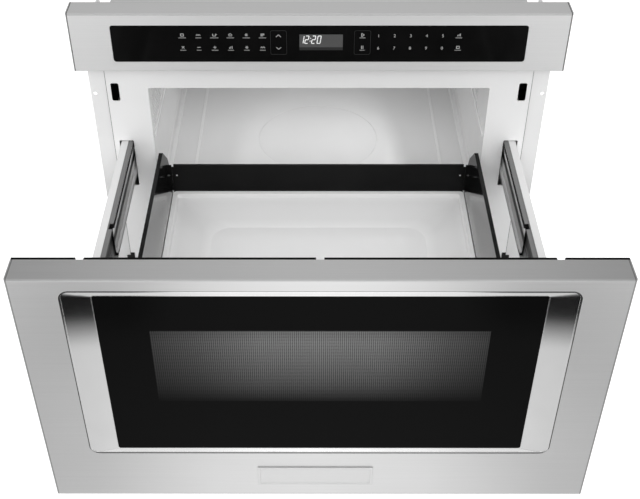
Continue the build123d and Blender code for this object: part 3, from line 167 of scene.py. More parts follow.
# layers of a noise
plain_detail, rich_detail = 2.0, 3.0
# the values of a noise at which a mottled tone reaches its darkest and its brightest
noise_dark, noise_bright = 0.3, 0.7
bevel_samples = 4


class Finish(Network):
    """A material built round one Principled shader, with patterns in real metres."""

    def __init__(self, name, level, roughness, metallic=0.0, **constants):
        self.material = bpy.data.materials.new(name)
        self.material.use_nodes = True
        super().__init__(self.material.node_tree)
        self.shader = self.tree.nodes["Principled BSDF"]
        self.feed("Base Color", grey(level))
        self.feed("Roughness", roughness)
        self.feed("Metallic", metallic)
        for socket, value in constants.items():
            self.feed(socket.replace("_", " "), value)
        self.place = self.node("ShaderNodeTexCoord", out="Object")

    def feed(self, name, value):
        self.plug(self.shader.inputs[name], value)

    def noise(self, scale, detail=plain_detail, stretch=(1.0, 1.0, 1.0)):
        """A noise with this many waves to the metre, times the stretch on each axis."""
        stretched = self.node("ShaderNodeMapping", {}, {"Vector": self.place, "Scale": stretch})
        return self.node(
            "ShaderNodeTexNoise", {}, {"Vector": stretched, "Scale": scale, "Detail": detail},
        )

    def mottled(self, noise, dark, bright):
        """A tone that follows a noise from dark to bright."""
        return self.ramp(noise, (noise_dark, dark), (noise_bright, bright))

    def bump(self, height, strength, distance, edge_round=0.0):
        """Relief in the shading, with edges that look rounded where a radius is given."""
        sockets = {"Height": height, "Strength": strength, "Distance": distance}
        if edge_round:
            rounded = self.node("ShaderNodeBevel", {"samples": bevel_samples}, {"Radius": edge_round})
            sockets["Normal"] = rounded
        self.feed("Normal", self.node("ShaderNodeBump", {}, sockets))


# ------------------------------------------------------------------ finishes

# the painted dark reflection near the upright edges of the steel fronts, and the panel's top fold, above
# which its top face is painted darker as shade
edge_reflection_inner, edge_reflection_outer = 300.7 * MM, 301.9 * MM
edge_reflection_tone = 0.05
panel_top = 412.4 * MM

# the slide members, from their lower to their upper edge
slide_low, slide_high = 160.25 * MM, 212.25 * MM

# the drawer sides' glossy coat and painted pale foot: inside the rims, and in front of a plane that
# leans back
drawer_rim_inner = 208.6 * MM
drawer_coat_and_sheen_rear, drawer_coat_and_sheen_lean = -118.5 * MM, 1.354
drawer_side_height = 50.0 * MM

tray_floor, tray_rim = 119.0 * MM, 137.4 * MM
cavity_wall = 219.0 * MM
plate_top = 410.0 * MM

# the clear field of the window, and the pitch of the punched screen behind it
window_half = 170.8 * MM
window_low, window_high = 159.4 * MM, 263.2 * MM
screen_pitch = 2.1 * MM


def brushed(
    name, level, roughness, along, spread=0.02, fine=1.0, edge_round=0.6 * MM, metallic=1.0,
    edge_painted_reflection=0.0, top_painted_shade=1.0,
):
    """Metal with fine brushing along one axis, and slight clouding and specks."""
    scale_across, scale_along, cloud_scale, speck_scale = 900.0, 9.0, 7.0, 520.0
    cloud_share = 0.4
    hair_gloss, speck_gloss = 0.08, 0.04
    speck_height, relief, relief_depth = 0.5, 0.07, 0.05 * MM
    stretch = [scale_across * fine] * 3
    stretch["XYZ".index(along)] = scale_along
    finish = Finish(name, level, roughness, metallic)
    hairs = finish.noise(1.0, rich_detail, stretch)
    clouds = finish.noise(cloud_scale, rich_detail)
    specks = finish.noise(speck_scale * fine)
    tone = finish.mottled(hairs, level - spread, level + spread)
    cloudy = finish.mottled(clouds, level - spread, level + spread)
    colour = finish.mix(cloud_share, tone, cloudy)
    # painted reflection: a thin dark line near the upright edges, where the rounded edge mirrors
    # something dark
    if edge_painted_reflection:
        across = finish.split(finish.place)[0].size()
        line = across.above(edge_reflection_inner) * across.below(edge_reflection_outer)
        colour = finish.mix(edge_painted_reflection * line, colour, grey(edge_reflection_tone))
    # painted shade: the top face above the panel's fold is painted darker
    if top_painted_shade < 1.0:
        top = finish.split(finish.place)[2].above(panel_top)
        colour = finish.mix((1.0 - top_painted_shade) * top, colour, grey(0.0))
    finish.feed("Base Color", colour)
    dullness = about(roughness - speck_gloss / 2, hair_gloss, hairs) + speck_gloss * specks
    finish.feed("Roughness", dullness)
    finish.bump(hairs + speck_height * specks, relief, relief_depth, edge_round)
    return finish


def rolled_slide(name, painted_light_stripes, ridges):
    """Slide steel with its ball tracks: bands of painted shade between raised bands with painted
    highlights.
    """
    scale_across, scale_along, wear_scale = 700.0, 5.0, 60.0
    stripe_wobble = 0.6 * MM
    roughness, sheen = 0.30, 0.35
    hair_tone, hair_gloss, hair_height = 0.28, 0.16, 0.004
    relief, ridge_height, edge_round = 1.0, 6.0 * MM, 0.4 * MM
    finish = Finish(name, 0.5, roughness, IOR=1.08)
    hairs = finish.noise(1.0, rich_detail, (scale_across, scale_along, scale_across))
    wear = finish.noise(wear_scale, rich_detail)
    level = finish.split(finish.place)[2]
    rise = (level - slide_low + stripe_wobble * (wear - 0.5)) / (slide_high - slide_low)
    # painted highlights and shade in stripes across the member, their edges wobbled by a noise
    tracks = finish.ramp(rise, *painted_light_stripes)
    finish.feed("Base Color", tracks * about(1.0, hair_tone, hairs))
    finish.feed("Metallic", sheen * tracks)
    finish.feed("Roughness", about(roughness, hair_gloss, hairs))
    relief_shape = finish.ramp(rise, *ridges) + hair_height * hairs
    finish.bump(relief_shape, relief, ridge_height, edge_round)
    return finish


def painted(name, level, roughness, peel=0.2, spread=0.012, **constants):
    """Smooth paint or enamel with the slight waviness of a sprayed coat."""
    wave_scale, patch_scale, patch_gloss = 260.0, 11.0, 0.08
    peel_depth, edge_round = 0.03 * MM, 0.4 * MM
    finish = Finish(name, level, roughness, **constants)
    waves = finish.noise(wave_scale)
    patches = finish.noise(patch_scale, rich_detail)
    finish.feed("Base Color", finish.mottled(patches, level - spread, level + spread))
    finish.feed("Roughness", about(roughness, patch_gloss, patches))
    finish.bump(waves, peel, peel_depth, edge_round)
    return finish


def drawer_enamel():
    """Black enamel of the drawer sides, with a glossy coat where they mirror the white tray.

    The foot of the sloping side beside the tray's rim is painted pale, a painted reflection of the
    tray's rolled rim.
    """
    black = 0.005
    finish = painted(
        "black drawer side enamel", black, roughness=0.14, peel=0.12, spread=0.002, IOR=1.25,
    )
    x, y, z = finish.split(finish.place)
    lit = x.size().below(drawer_rim_inner) * (y + drawer_coat_and_sheen_lean * z).below(drawer_coat_and_sheen_rear)
    rise = (z - tray_rim) / drawer_side_height
    # painted reflection: the foot of the side beside the tray's rim is painted pale
    foot = finish.ramp(rise, (0.0, 0.46), (0.12, 0.10), (0.4, 0.0))
    finish.feed("Base Color", black + lit * foot)
    finish.feed("Coat Weight", lit)
    finish.feed("Coat IOR", 1.68)
    finish.feed("Coat Roughness", 0.10)
    return finish


def tray_ceramic():
    """White glass ceramic, with a painted highlight on its rolled rim and painted light on its floor,
    darker on its slopes.
    """
    patch_scale, patch_middle, patch_swing = 9.0, 0.995, 0.03
    finish = painted("white glass ceramic", level=0.86, roughness=0.12, peel=0.1, IOR=1.5)
    patches = finish.noise(patch_scale, rich_detail)
    rise = (finish.split(finish.place)[2] - tray_floor) / (tray_rim - tray_floor)
    # painted light and shade by height: lighter floor, darker slopes, a painted highlight on the rim
    tone = finish.ramp(rise, (0.0, 0.94), (0.2, 0.86), (0.6, 0.86), (1.0, 0.98))
    finish.feed("Base Color", tone * about(patch_middle, patch_swing, patches))
    return finish


def cavity_enamel():
    """White cavity enamel, with painted light that makes its upright walls brighter than its floor."""
    level, patch_scale, patch_swing, wall_painted_light = 0.86, 8.0, 0.04, 0.10
    finish = painted("white cavity enamel", level, roughness=0.20, IOR=1.45)
    patches = finish.noise(patch_scale, rich_detail)
    # painted light: the upright walls are painted brighter than the floor
    wall = finish.split(finish.place)[0].size().above(cavity_wall)
    finish.feed("Base Color", about(level, patch_swing, patches) + wall_painted_light * wall)
    return finish


def plate_paint():
    """White paint of the front plate, with painted light low down where the drawer shades it."""
    patch_scale, patch_middle, patch_swing = 11.0, 0.995, 0.03
    finish = painted("white front plate", level=0.83, roughness=0.40)
    patches = finish.noise(patch_scale, rich_detail)
    rise = finish.split(finish.place)[2] / plate_top
    # painted light: brighter low down, against the drawer's shade
    tone = finish.ramp(rise, (0.15, 0.99), (0.45, 0.97), (0.68, 0.85), (1.0, 0.84))
    finish.feed("Base Color", tone * about(patch_middle, patch_swing, patches))
    return finish


def moulded(name, level, roughness, grain=900.0, strength=0.3, **constants):
    """Moulded plastic or rubber with a fine spark-eroded grain."""
    wear_scale, wear_tone, wear_gloss = 25.0, 0.15, 0.14
    grain_depth, edge_round = 0.05 * MM, 0.3 * MM
    finish = Finish(name, level, roughness, **constants)
    pits = finish.noise(grain, rich_detail)
    wear = finish.noise(wear_scale, rich_detail)
    tone = finish.mottled(wear, level * (1.0 - wear_tone), level * (1.0 + wear_tone))
    finish.feed("Base Color", tone)
    finish.feed("Roughness", about(roughness, wear_gloss, wear))
    finish.bump(pits, strength, grain_depth, edge_round)
    return finish


def glassy(name, level, roughness, haze_scale, **constants):
    """A smooth pane with faint wiping marks in its gloss."""
    streak_scales = (14.0, 90.0, 160.0)
    haze_tone, clean_gloss, haze_gloss, streak_gloss = 0.15, 0.01, 0.03, 0.02
    relief, relief_depth, edge_round = 0.04, 0.03 * MM, 0.4 * MM
    finish = Finish(name, level, roughness, **constants)
    haze = finish.noise(haze_scale, rich_detail)
    streaks = finish.noise(1.0, stretch=streak_scales)
    tone = finish.mottled(haze, level * (1.0 - haze_tone), level * (1.0 + haze_tone))
    finish.feed("Base Color", tone)
    dullness = roughness - clean_gloss + haze_gloss * haze + streak_gloss * streaks
    finish.feed("Roughness", dullness)
    finish.bump(haze, relief, relief_depth, edge_round)
    return finish


def polished_surround():
    """Bright rolled stainless, with faint long polishing lines."""
    line_scales, haze_scale = (8.0, 500.0, 500.0), 30.0
    level, spread = 0.91, 0.02
    roughness, haze_gloss = 0.09, 0.06
    relief, relief_depth, edge_round = 0.03, 0.04 * MM, 0.3 * MM
    finish = Finish("polished surround", level, roughness, metallic=1.0)
    lines = finish.noise(1.0, stretch=line_scales)
    haze = finish.noise(haze_scale, rich_detail)
    finish.feed("Base Color", finish.mottled(haze, level - spread, level + spread))
    finish.feed("Roughness", about(roughness, haze_gloss, haze))
    finish.bump(lines, relief, relief_depth, edge_round)
    return finish


def perforated_pane():
    """Black printed window glass; its clear field is painted with the punched screen behind it, under
    painted light.
    """
    black, sheet_tone, hole_depth = 0.0035, 0.19, 0.78
    hole_shift, hole_radius = 0.25 * screen_pitch, 0.36 * screen_pitch
    finish = glassy("window glass", level=0.0030, roughness=0.06, haze_scale=22.0, IOR=1.10)
    x, _, z = finish.split(finish.place)
    across = x.size()
    inside = across.below(window_half) * z.above(window_low) * z.below(window_high)
    hole_x = (x + hole_shift).folded(screen_pitch / 2)
    hole_z = z.folded(screen_pitch / 2)
    hole = (hole_x * hole_x + hole_z * hole_z).below(hole_radius ** 2)
    # painted light on the screen: brightest high up in the middle, falling off to the sides and the foot
    painted_light_x = finish.ramp(across / window_half, (0.0, 1.0), (0.35, 0.90), (0.75, 0.42), (1.0, 0.22))
    rise = (z - window_low) / (window_high - window_low)
    painted_light_z = finish.ramp(rise, (0.0, 0.03), (0.25, 0.40), (0.6, 0.78), (0.85, 1.0), (1.0, 0.80))
    sheet = sheet_tone * painted_light_x * painted_light_z * (1.0 - hole_depth * hole)
    finish.feed("Base Color", black + inside * sheet)
    return finish


def green_board():
    """Green circuit board with paler tracks and pads."""
    dark_green, track_green = (0.02, 0.10, 0.045, 1.0), (0.05, 0.2, 0.09, 1.0)
    pad_green = (0.03, 0.13, 0.06, 1.0)
    pad_scale, roughness, pad_gloss = 180.0, 0.35, 0.14
    relief, relief_depth, edge_round = 0.2, 0.1 * MM, 0.3 * MM
    finish = Finish("circuit board", 0.1, roughness)
    tracks = finish.node(
        "ShaderNodeTexBrick", {}, {"Vector": finish.place, "Scale": 90.0, "Mortar Size": 0.08},
    )
    pads = finish.noise(pad_scale)
    greens = finish.mix(tracks, dark_green, track_green)
    finish.feed("Base Color", finish.mix(pads, greens, pad_green))
    finish.feed("Roughness", about(roughness, pad_gloss, pads))
    finish.bump(pads, relief, relief_depth, edge_round)
    return finish


def printed(name, level, ink_scale, **constants):
    """Pale print on the glass, slightly uneven in its ink."""
    roughness, spread, relief, relief_depth = 0.5, 0.06, 0.1, 0.02 * MM
    finish = Finish(name, level, roughness, **constants)
    ink = finish.noise(ink_scale)
    finish.feed("Base Color", finish.mottled(ink, level - spread, level + spread))
    finish.bump(ink, relief, relief_depth)
    return finish


def clock_glass():
    """Dull grey clock window, with a darker strip along its foot."""
    strip_tone, pane_gain = 0.030, 0.055
    grain_scale, grain_tone = 1200.0, 0.3
    relief, relief_depth, edge_round = 0.1, 0.02 * MM, 0.2 * MM
    finish = Finish("clock window", strip_tone + pane_gain, 0.28, IOR=1.2)
    grain = finish.noise(grain_scale)
    pane = finish.split(finish.place)[2].above(clock_sill)
    tone = (strip_tone + pane_gain * pane) * about(1.0, grain_tone, grain)
    finish.feed("Base Color", tone)
    finish.bump(grain, relief, relief_depth, edge_round)
    return finish


# one finish for each material slot of the record
finishes = {
    # the front gets a painted dark reflection near its upright edges
    "stainless": brushed(
        "brushed stainless front", level=0.76, roughness=0.42, along="X", spread=0.022, edge_painted_reflection=0.5,
    ),
    "polished_steel": polished_surround(),
    "white_enamel": cavity_enamel(),
    "white_paint": painted("white painted plate", level=0.83, roughness=0.40),
    "zinc_steel": brushed(
        "zinc sheet", level=0.66, roughness=0.45, along="Y", spread=0.025, fine=0.5, metallic=0.7,
    ),
    "slide_steel": brushed(
        "rolled slide steel", level=0.58, roughness=0.20, along="Y", spread=0.06, fine=0.6,
        edge_round=0.4 * MM,
    ),
    "aluminium": brushed(
        "plain aluminium", level=0.70, roughness=0.34, along="X", spread=0.04, fine=0.3,
    ),
    "black_glass": glassy(
        "black panel glass", level=0.0045, roughness=0.06, haze_scale=30.0, IOR=1.12,
    ),
    "smoked_glass": perforated_pane(),
    "clear_glass": glassy(
        "clear pane", level=0.9, roughness=0.03, haze_scale=60.0, Transmission_Weight=1.0, IOR=1.5,
    ),
    "tray_ceramic": tray_ceramic(),
    "cover_ceramic": painted("pale floor cover", level=0.84, roughness=0.22, IOR=1.45),
    "black_plastic": moulded("black moulding", level=0.008, roughness=0.5, IOR=1.3),
    "black_enamel": drawer_enamel(),
    "white_plastic": moulded(
        "white moulding", level=0.78, roughness=0.4, grain=700.0, strength=0.15,
    ),
    "rubber": moulded(
        "black rubber", level=0.010, roughness=0.62, grain=600.0, strength=0.5, IOR=1.3,
    ),
    "board": green_board(),
    "motor_metal": painted(
        "dark motor paint", level=0.10, roughness=0.4, peel=0.3, spread=0.02,
    ),
    "core_steel": painted("varnished core", level=0.14, roughness=0.35, peel=0.3, spread=0.03),
    "badge_metal": brushed(
        "satin badge plate", level=0.70, roughness=0.42, along="X", spread=0.015, metallic=0.75,
    ),
}

# stripes give the painted highlights and shade, and ridges the height across a slide member, each as
# place and level, from its lower edge at 0 to its upper edge at 1
outer_member = rolled_slide(
    "outer slide member",
    painted_light_stripes=[
        (0.0, 0.75), (0.10, 0.80), (0.30, 0.42), (0.44, 0.10), (0.58, 0.06), (0.62, 0.14),
        (0.80, 0.03), (0.94, 0.04), (0.97, 0.18), (1.0, 0.20),
    ],
    ridges=[(0.0, 0.0), (0.30, 0.0), (0.33, 1.0), (0.40, 0.0), (1.0, 0.0)],
)
middle_member = rolled_slide(
    "middle slide member",
    painted_light_stripes=[
        (0.0, 0.80), (0.20, 0.80), (0.38, 0.70), (0.42, 0.30), (0.45, 0.02), (0.58, 0.02),
        (0.61, 0.95), (0.80, 0.95), (0.82, 0.03), (1.0, 0.03),
    ],
    ridges=[
        (0.0, 1.0), (0.26, 1.0), (0.41, 0.0), (0.60, 0.0), (0.64, 1.0), (0.80, 0.0), (1.0, 0.0),
    ],
)
# the panel gets a painted dark reflection near its upright edges and painted shade on its top face
panel_stainless = brushed(
    "brushed stainless panel", level=0.80, roughness=0.60, along="X", metallic=0.5,
    edge_painted_reflection=0.9, top_painted_shade=0.69,
)
arm_paint = painted("white painted arm", level=0.72, roughness=0.36)
matt_black = moulded("matt black cover", level=0.004, roughness=0.6, IOR=1.15)
back_enamel = painted(
    "black back wall enamel", level=0.006, roughness=0.22, peel=0.15, spread=0.002, IOR=1.2,
)
# painted shade: a dark strip that stands in for the shadow in a narrow gap
gap_shade_black = moulded("painted gap shade", level=0.02, roughness=0.7)
# painted highlight: brighter than the cavity enamel, for the glints along beads, ribs and steps
bead_highlight_enamel = painted("bead enamel with painted highlight", level=0.95, roughness=0.14, IOR=1.5)

# nodes that differ from the finish of their slot
own_finishes = {
    "front_frame": plate_paint(),
    "control_panel": panel_stainless,
    "tub_back": back_enamel,
    "tub_floor": back_enamel,
    "mesh_screen": painted(
        "black screen enamel", level=0.02, roughness=0.3, peel=0.2, spread=0.004,
    ),
    "choke_cover": matt_black,
}
for label, _ in SIDES:
    own_finishes[f"arm_{label}"] = arm_paint
    own_finishes[f"slide_outer_{label}"] = outer_member
    own_finishes[f"slide_middle_{label}"] = middle_member

for subpart in frame["record"]["subparts"]:
    node = nodes[subpart["node"]]
    finish = own_finishes.get(subpart["node"], finishes[subpart["material_slot"]])
    if not node.material_slots:
        node.data.materials.append(finish.material)
    for material_slot in node.material_slots:
        material_slot.material = finish.material


# ------------------------------------------------------------------ how a piece is made

upright = math.radians(90.0)
corner_steps = 6
# the parts of a thin frame are put in order of their distance from this point, so that each run
# makes the same mesh
order_point = Vector((-1.37, 0.71, -2.13))


def settle(piece, name):
    """Name a new piece and put its place, turn and scale into its mesh."""
    piece.name = name
    bpy.ops.object.select_all(action="DESELECT")
    piece.select_set(True)
    bpy.context.view_layer.objects.active = piece
    bpy.ops.object.transform_apply(location=True, rotation=True, scale=True)
    return piece


def round_edges(piece, radius, steps=2):
    """Round all sharp edges of a settled piece."""
    bpy.context.view_layer.objects.active = piece
    bpy.ops.object.modifier_add(type="BEVEL")
    rounding = piece.modifiers[-1]
    rounding.width = radius
    rounding.segments = steps
    bpy.ops.object.modifier_apply(modifier=rounding.name)


def block(name, low, high, radius):
    """A box between two corners, with its edges rounded where a radius is given."""
    low, high = Vector(low), Vector(high)
    bpy.ops.mesh.primitive_cube_add(size=1.0, location=(low + high) / 2)
    piece = bpy.context.active_object
    piece.scale = high - low
    settle(piece, name)
    if radius:
        round_edges(piece, radius)
    return piece


def side_block(name, label, side, across, along, up, radius):
    """A block on one side of the middle plane; across, along and up are its two ends each."""
    inner, outer = side * across[0], side * across[1]
    return block(
        f"{name}_{label}",
        (min(inner, outer), along[0], up[0]),
        (max(inner, outer), along[1], up[1]),
        radius,
    )


def line_frame(name, low, high, corner, line, front, depth):
    """A thin upright frame with rounded corners, its face at front and its body depth behind."""
    middle = (Vector(low) + Vector(high)) / 2
    bpy.ops.mesh.primitive_plane_add(
        size=1.0, location=(middle.x, front, middle.y), rotation=(upright, 0.0, 0.0),
    )
    piece = bpy.context.active_object
    piece.scale = (high[0] - low[0], high[1] - low[1], 1.0)
    settle(piece, name)
    bpy.ops.object.mode_set(mode="EDIT")
    bpy.ops.mesh.select_all(action="SELECT")
    bpy.ops.mesh.bevel(offset=corner, segments=corner_steps, affect="VERTICES")
    bpy.ops.mesh.select_all(action="SELECT")
    bpy.ops.mesh.inset(thickness=line, depth=0.0)
    bpy.ops.mesh.delete(type="FACE")
    bpy.ops.mesh.select_all(action="SELECT")
    bpy.ops.mesh.extrude_region_move(TRANSFORM_OT_translate={"value": (0.0, depth, 0.0)})
    bpy.ops.mesh.select_all(action="SELECT")
    bpy.ops.mesh.normals_make_consistent(inside=False)
    bpy.context.scene.cursor.location = order_point
    bpy.ops.mesh.sort_elements(type="CURSOR_DISTANCE", elements={"VERT", "EDGE", "FACE"})
    bpy.ops.object.mode_set(mode="OBJECT")
    bpy.context.scene.cursor.location = (0.0, 0.0, 0.0)
    return piece


def joined(name, pieces):
    """Make one piece of several."""
    bpy.ops.object.select_all(action="DESELECT")
    for piece in pieces:
        piece.select_set(True)
    bpy.context.view_layer.objects.active = pieces[0]
    bpy.ops.object.join()
    return settle(pieces[0], name)


def fitted(piece, finish, body):
    """Give a finished piece its material and the body it rides on."""
    piece.data.materials.clear()
    piece.data.materials.append(finish.material)
    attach(piece, body)
    return piece


# ------------------------------------------------------------------ marks on the control glass

glass_low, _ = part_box("control_glass")
print_proud = 0.06 * MM
print_sunk = 0.25 * MM
print_front = glass_low.y - print_proud
print_back = glass_low.y + print_sunk
print_middle = (print_front + print_back) / 2
print_depth = print_back - print_front

# the keys stand in two rows of seven columns on each side of the clock
upper_row, lower_row = 385.4 * MM, 368.7 * MM
left_block, right_block = -165.5 * MM, 52.5 * MM
key_pitch, key_columns = 19.4 * MM, 7
left_columns = [left_block + key_pitch * column for column in range(key_columns)]
right_columns = [right_block + key_pitch * column for column in range(key_columns)]


def stroke(x, z, length, width, turn=0.0):
    """A thin printed bar on the glass, turned by degrees about its own middle."""
    bpy.ops.mesh.primitive_cube_add(size=1.0, location=(x, print_middle, z))
    bar = bpy.context.active_object
    bar.scale = (length, print_depth, width)
    bar.rotation_euler = (0.0, math.radians(-turn), 0.0)
    return settle(bar, "stroke")


# plain signs made of bars: place across, place up and length in millimetres, and turn
key_signs = {
    "plus": [(0.0, 0.0, 3.6, 0), (0.0, 0.0, 3.6, 90)],
    "star": [(0.0, 0.0, 3.8, 0), (0.0, 0.0, 3.8, 60), (0.0, 0.0, 3.8, 120)],
    "steps": [(-1.6, -0.9, 1.8, 90), (0.0, -0.4, 2.8, 90), (1.6, 0.0, 3.6, 90)],
    "lines": [(0.0, 1.3, 4.6, 0), (0.0, 0.0, 4.6, 0), (-0.8, -1.3, 3.0, 0)],
    "cup": [(-1.7, 0.1, 3.0, 90), (1.7, 0.1, 3.0, 90), (0.0, -1.4, 3.6, 0), (2.6, 0.6, 1.8, 0)],
    "roof": [(-1.2, 0.9, 3.0, 40), (1.2, 0.9, 3.0, -40), (0.0, -1.2, 4.4, 0)],
    "cross": [(0.0, 0.0, 4.0, 45), (0.0, 0.0, 4.0, -45)],
    "frame": [(0.0, 1.5, 3.8, 0), (0.0, -1.5, 3.8, 0), (-1.7, 0.0, 3.2, 90), (1.7, 0.0, 3.2, 90)],
    "wave": [(-1.8, 0.0, 2.6, 55), (-0.6, 0.0, 2.6, -55), (0.6, 0.0, 2.6, 55), (1.8, 0.0, 2.6, -55)],
    "minus": [(0.0, 0.0, 4.0, 0)],
    "up": [(-1.5, 0.0, 4.2, 45), (1.5, 0.0, 4.2, -45)],
    "down": [(-1.5, 0.0, 4.2, -45), (1.5, 0.0, 4.2, 45)],
    "go": [(-1.2, 0.0, 4.4, 90), (0.5, 1.1, 4.0, -33), (0.5, -1.1, 4.0, 33)],
    "halt": [(-0.9, 0.0, 4.4, 90), (0.9, 0.0, 4.4, 90)],
}
sign_stroke = 0.75 * MM
sign_rise = 1.3 * MM
caption_drop = 2.6 * MM
caption_stroke = 0.55 * MM


def sign(kind, x, z, caption):
    """One key's sign, with a caption line below it of this many millimetres where it has one."""
    rise = sign_rise if caption else 0.0
    bars = [
        stroke(x + across * MM, z + up * MM + rise, length * MM, sign_stroke, turn)
        for across, up, length, turn in key_signs[kind]
    ]
    if caption:
        bars.append(stroke(x, z - caption_drop, caption * MM, caption_stroke))
    return bars


# each left column's upper sign, lower sign and caption length
left_keys = [
    ("frame", "cross", 9.0), ("wave", "minus", 7.0), ("cup", "plus", 10.0), ("roof", "steps", 9.0),
    ("star", "star", 8.5), ("lines", "wave", 9.0), ("up", "down", 0.0),
]
lower_caption_share = 0.8
# the keys at both ends of the right block: column, upper sign, its caption, lower sign, its caption
right_keys = [(0, "go", 7.0, "halt", 6.0), (6, "steps", 8.0, "frame", 8.0)]
bars = []
for x, (upper, lower, caption) in zip(left_columns, left_keys):
    bars += sign(upper, x, upper_row, caption)
    bars += sign(lower, x, lower_row, caption * lower_caption_share)
for column, upper, upper_caption, lower, lower_caption in right_keys:
    bars += sign(upper, right_columns[column], upper_row, upper_caption)
    bars += sign(lower, right_columns[column], lower_row, lower_caption)
key_print = printed("pale key print", level=0.46, ink_scale=700.0)
fitted(joined("key_signs", bars), key_print, "cabinet")

numeral_height = 5.6 * MM


def numeral(figure, x, z):
    """A printed figure on the glass, made a mesh before it is placed."""
    bpy.ops.object.text_add()
    text = bpy.context.active_object
    text.data.body = figure
    text.data.size = numeral_height
    text.data.align_x = "CENTER"
    text.data.align_y = "CENTER"
    text.data.extrude = print_depth / 2
    text.data.resolution_u = 4
    bpy.ops.object.select_all(action="DESELECT")
    text.select_set(True)
    bpy.ops.object.convert(target="MESH")
    text.rotation_euler = (upright, 0.0, 0.0)
    text.location = (x, print_middle, z)
    return settle(text, "numeral")


numerals = [
    numeral(figure, x, level)
    for row, level in (("12345", upper_row), ("67890", lower_row))
    for figure, x in zip(row, right_columns[1:6])
]
fitted(joined("key_numbers", numerals), key_print, "cabinet")

outline_half_width = 10.0 * MM
outline_low, outline_high = 360.1 * MM, 392.6 * MM
outline_corner, outline_line = 2.4 * MM, 0.45 * MM
faint_print = painted("faint key print", level=0.016, roughness=0.5, spread=0.004)
for label, x in (("left", left_columns[6]), ("right", right_columns[0])):
    outline = line_frame(
        f"key_outline_{label}",
        (x - outline_half_width, outline_low), (x + outline_half_width, outline_high),
        outline_corner, outline_line, print_front, print_sunk,
    )
    fitted(outline, faint_print, "cabinet")


# ------------------------------------------------------------------ clock

clock_left, clock_right = -23.8 * MM, 28.8 * MM
clock_low, clock_sill, clock_high = 366.2 * MM, 370.2 * MM, 387.3 * MM
clock_sunk = 0.8 * MM
clock_window = block(
    "clock_window",
    (clock_left, print_front, clock_low),
    (clock_right, glass_low.y + clock_sunk, clock_high),
    0.0,
)
fitted(clock_window, clock_glass(), "cabinet")

figure_half_width = 1.9 * MM
figure_half_height = 5.0 * MM
figure_stroke = 1.0 * MM
figure_gap = 0.35 * MM
figure_lean = 0.16
figure_proud = 0.06 * MM
figure_line = 380.4 * MM
# each segment: place across and up in half sizes, and whether it stands
segments = {
    "a": (0, 1, False), "b": (1, 0.5, True), "c": (1, -0.5, True), "d": (0, -1, False),
    "e": (-1, -0.5, True), "f": (-1, 0.5, True), "g": (0, 0, False),
}
lit_segments = {"0": "abcdef", "1": "bc", "2": "abged"}
clock_figures_across = [("1", -20.6 * MM), ("2", -14.8 * MM), ("2", -6.6 * MM), ("0", 0.0)]
colon_across, colon_half_gap = -10.6 * MM, 1.9 * MM


def lit_figure(figure, x):
    """A seven-segment figure in front of the clock window."""
    bars = []
    for name in lit_segments[figure]:
        across, up, stands = segments[name]
        length = figure_half_height if stands else 2 * figure_half_width
        bars.append(stroke(
            x + across * figure_half_width,
            figure_line + up * figure_half_height,
            length - figure_gap, figure_stroke, 90 if stands else 0,
        ))
    return bars


bars = []
for figure, x in clock_figures_across:
    bars += lit_figure(figure, x)
for up in (-colon_half_gap, colon_half_gap):
    bars.append(stroke(colon_across, figure_line + up, figure_stroke, figure_stroke))
clock_figures = joined("clock_figures", bars)
for vertex in clock_figures.data.vertices:
    vertex.co.x += figure_lean * (vertex.co.z - figure_line)
    vertex.co.y -= figure_proud
lit_print = printed(
    "lit clock figures", level=0.78, ink_scale=900.0,
    Emission_Strength=0.25, Emission_Color=grey(1.0),
)
fitted(clock_figures, lit_print, "cabinet")


# ------------------------------------------------------------------ badge plate

badge_low, badge_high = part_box("badge_plate")
badge_frame_width = 2.6 * MM
badge_recess = 0.8 * MM
badge_round = 0.3 * MM
faces_front = -0.9


def bare_badge():
    """A bare plate with a raised bevelled frame round its face."""
    piece = block("badge_face", badge_low, badge_high, 0.0)
    bpy.ops.object.mode_set(mode="EDIT")
    bpy.ops.mesh.select_all(action="DESELECT")
    bpy.ops.object.mode_set(mode="OBJECT")
    for face in piece.data.polygons:
        face.select = face.normal.y < faces_front
    bpy.ops.object.mode_set(mode="EDIT")
    bpy.ops.mesh.inset(thickness=badge_frame_width, depth=0.0)
    bpy.ops.mesh.inset(thickness=badge_recess, depth=-badge_recess)
    bpy.ops.object.mode_set(mode="OBJECT")
    round_edges(piece, badge_round)
    return piece


badge_face = fitted(bare_badge(), finishes["badge_metal"], "drawer")
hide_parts("badge_plate")


# ------------------------------------------------------------------ lines round the window

bezel_low, bezel_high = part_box("window_bezel")
pane_low, pane_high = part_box("window_glass")
door_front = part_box("door_skin")[0].y

# the surround's hidden lap behind the door skin, at its sides and at its top and bottom
side_lap, end_lap = 6.0 * MM, 5.0 * MM
opening_low = (bezel_low.x + side_lap, bezel_low.z + end_lap)
opening_high = (bezel_high.x - side_lap, bezel_high.z - end_lap)
opening_corner = 9.0 * MM
joint_width, joint_overlap = 0.7 * MM, 0.1 * MM
joint_sunk, joint_depth = 0.2 * MM, 0.5 * MM
rim_width = 1.5 * MM
pane_line, pane_corner = 0.8 * MM, 3.5 * MM
rim_proud, rim_depth = 0.2 * MM, 1.0 * MM


def grown(corner, amount):
    """A corner of an upright outline moved outwards: down and left if it is the low one."""
    outwards = -1.0 if corner[0] < 0.0 else 1.0
    return [value + outwards * amount for value in corner]


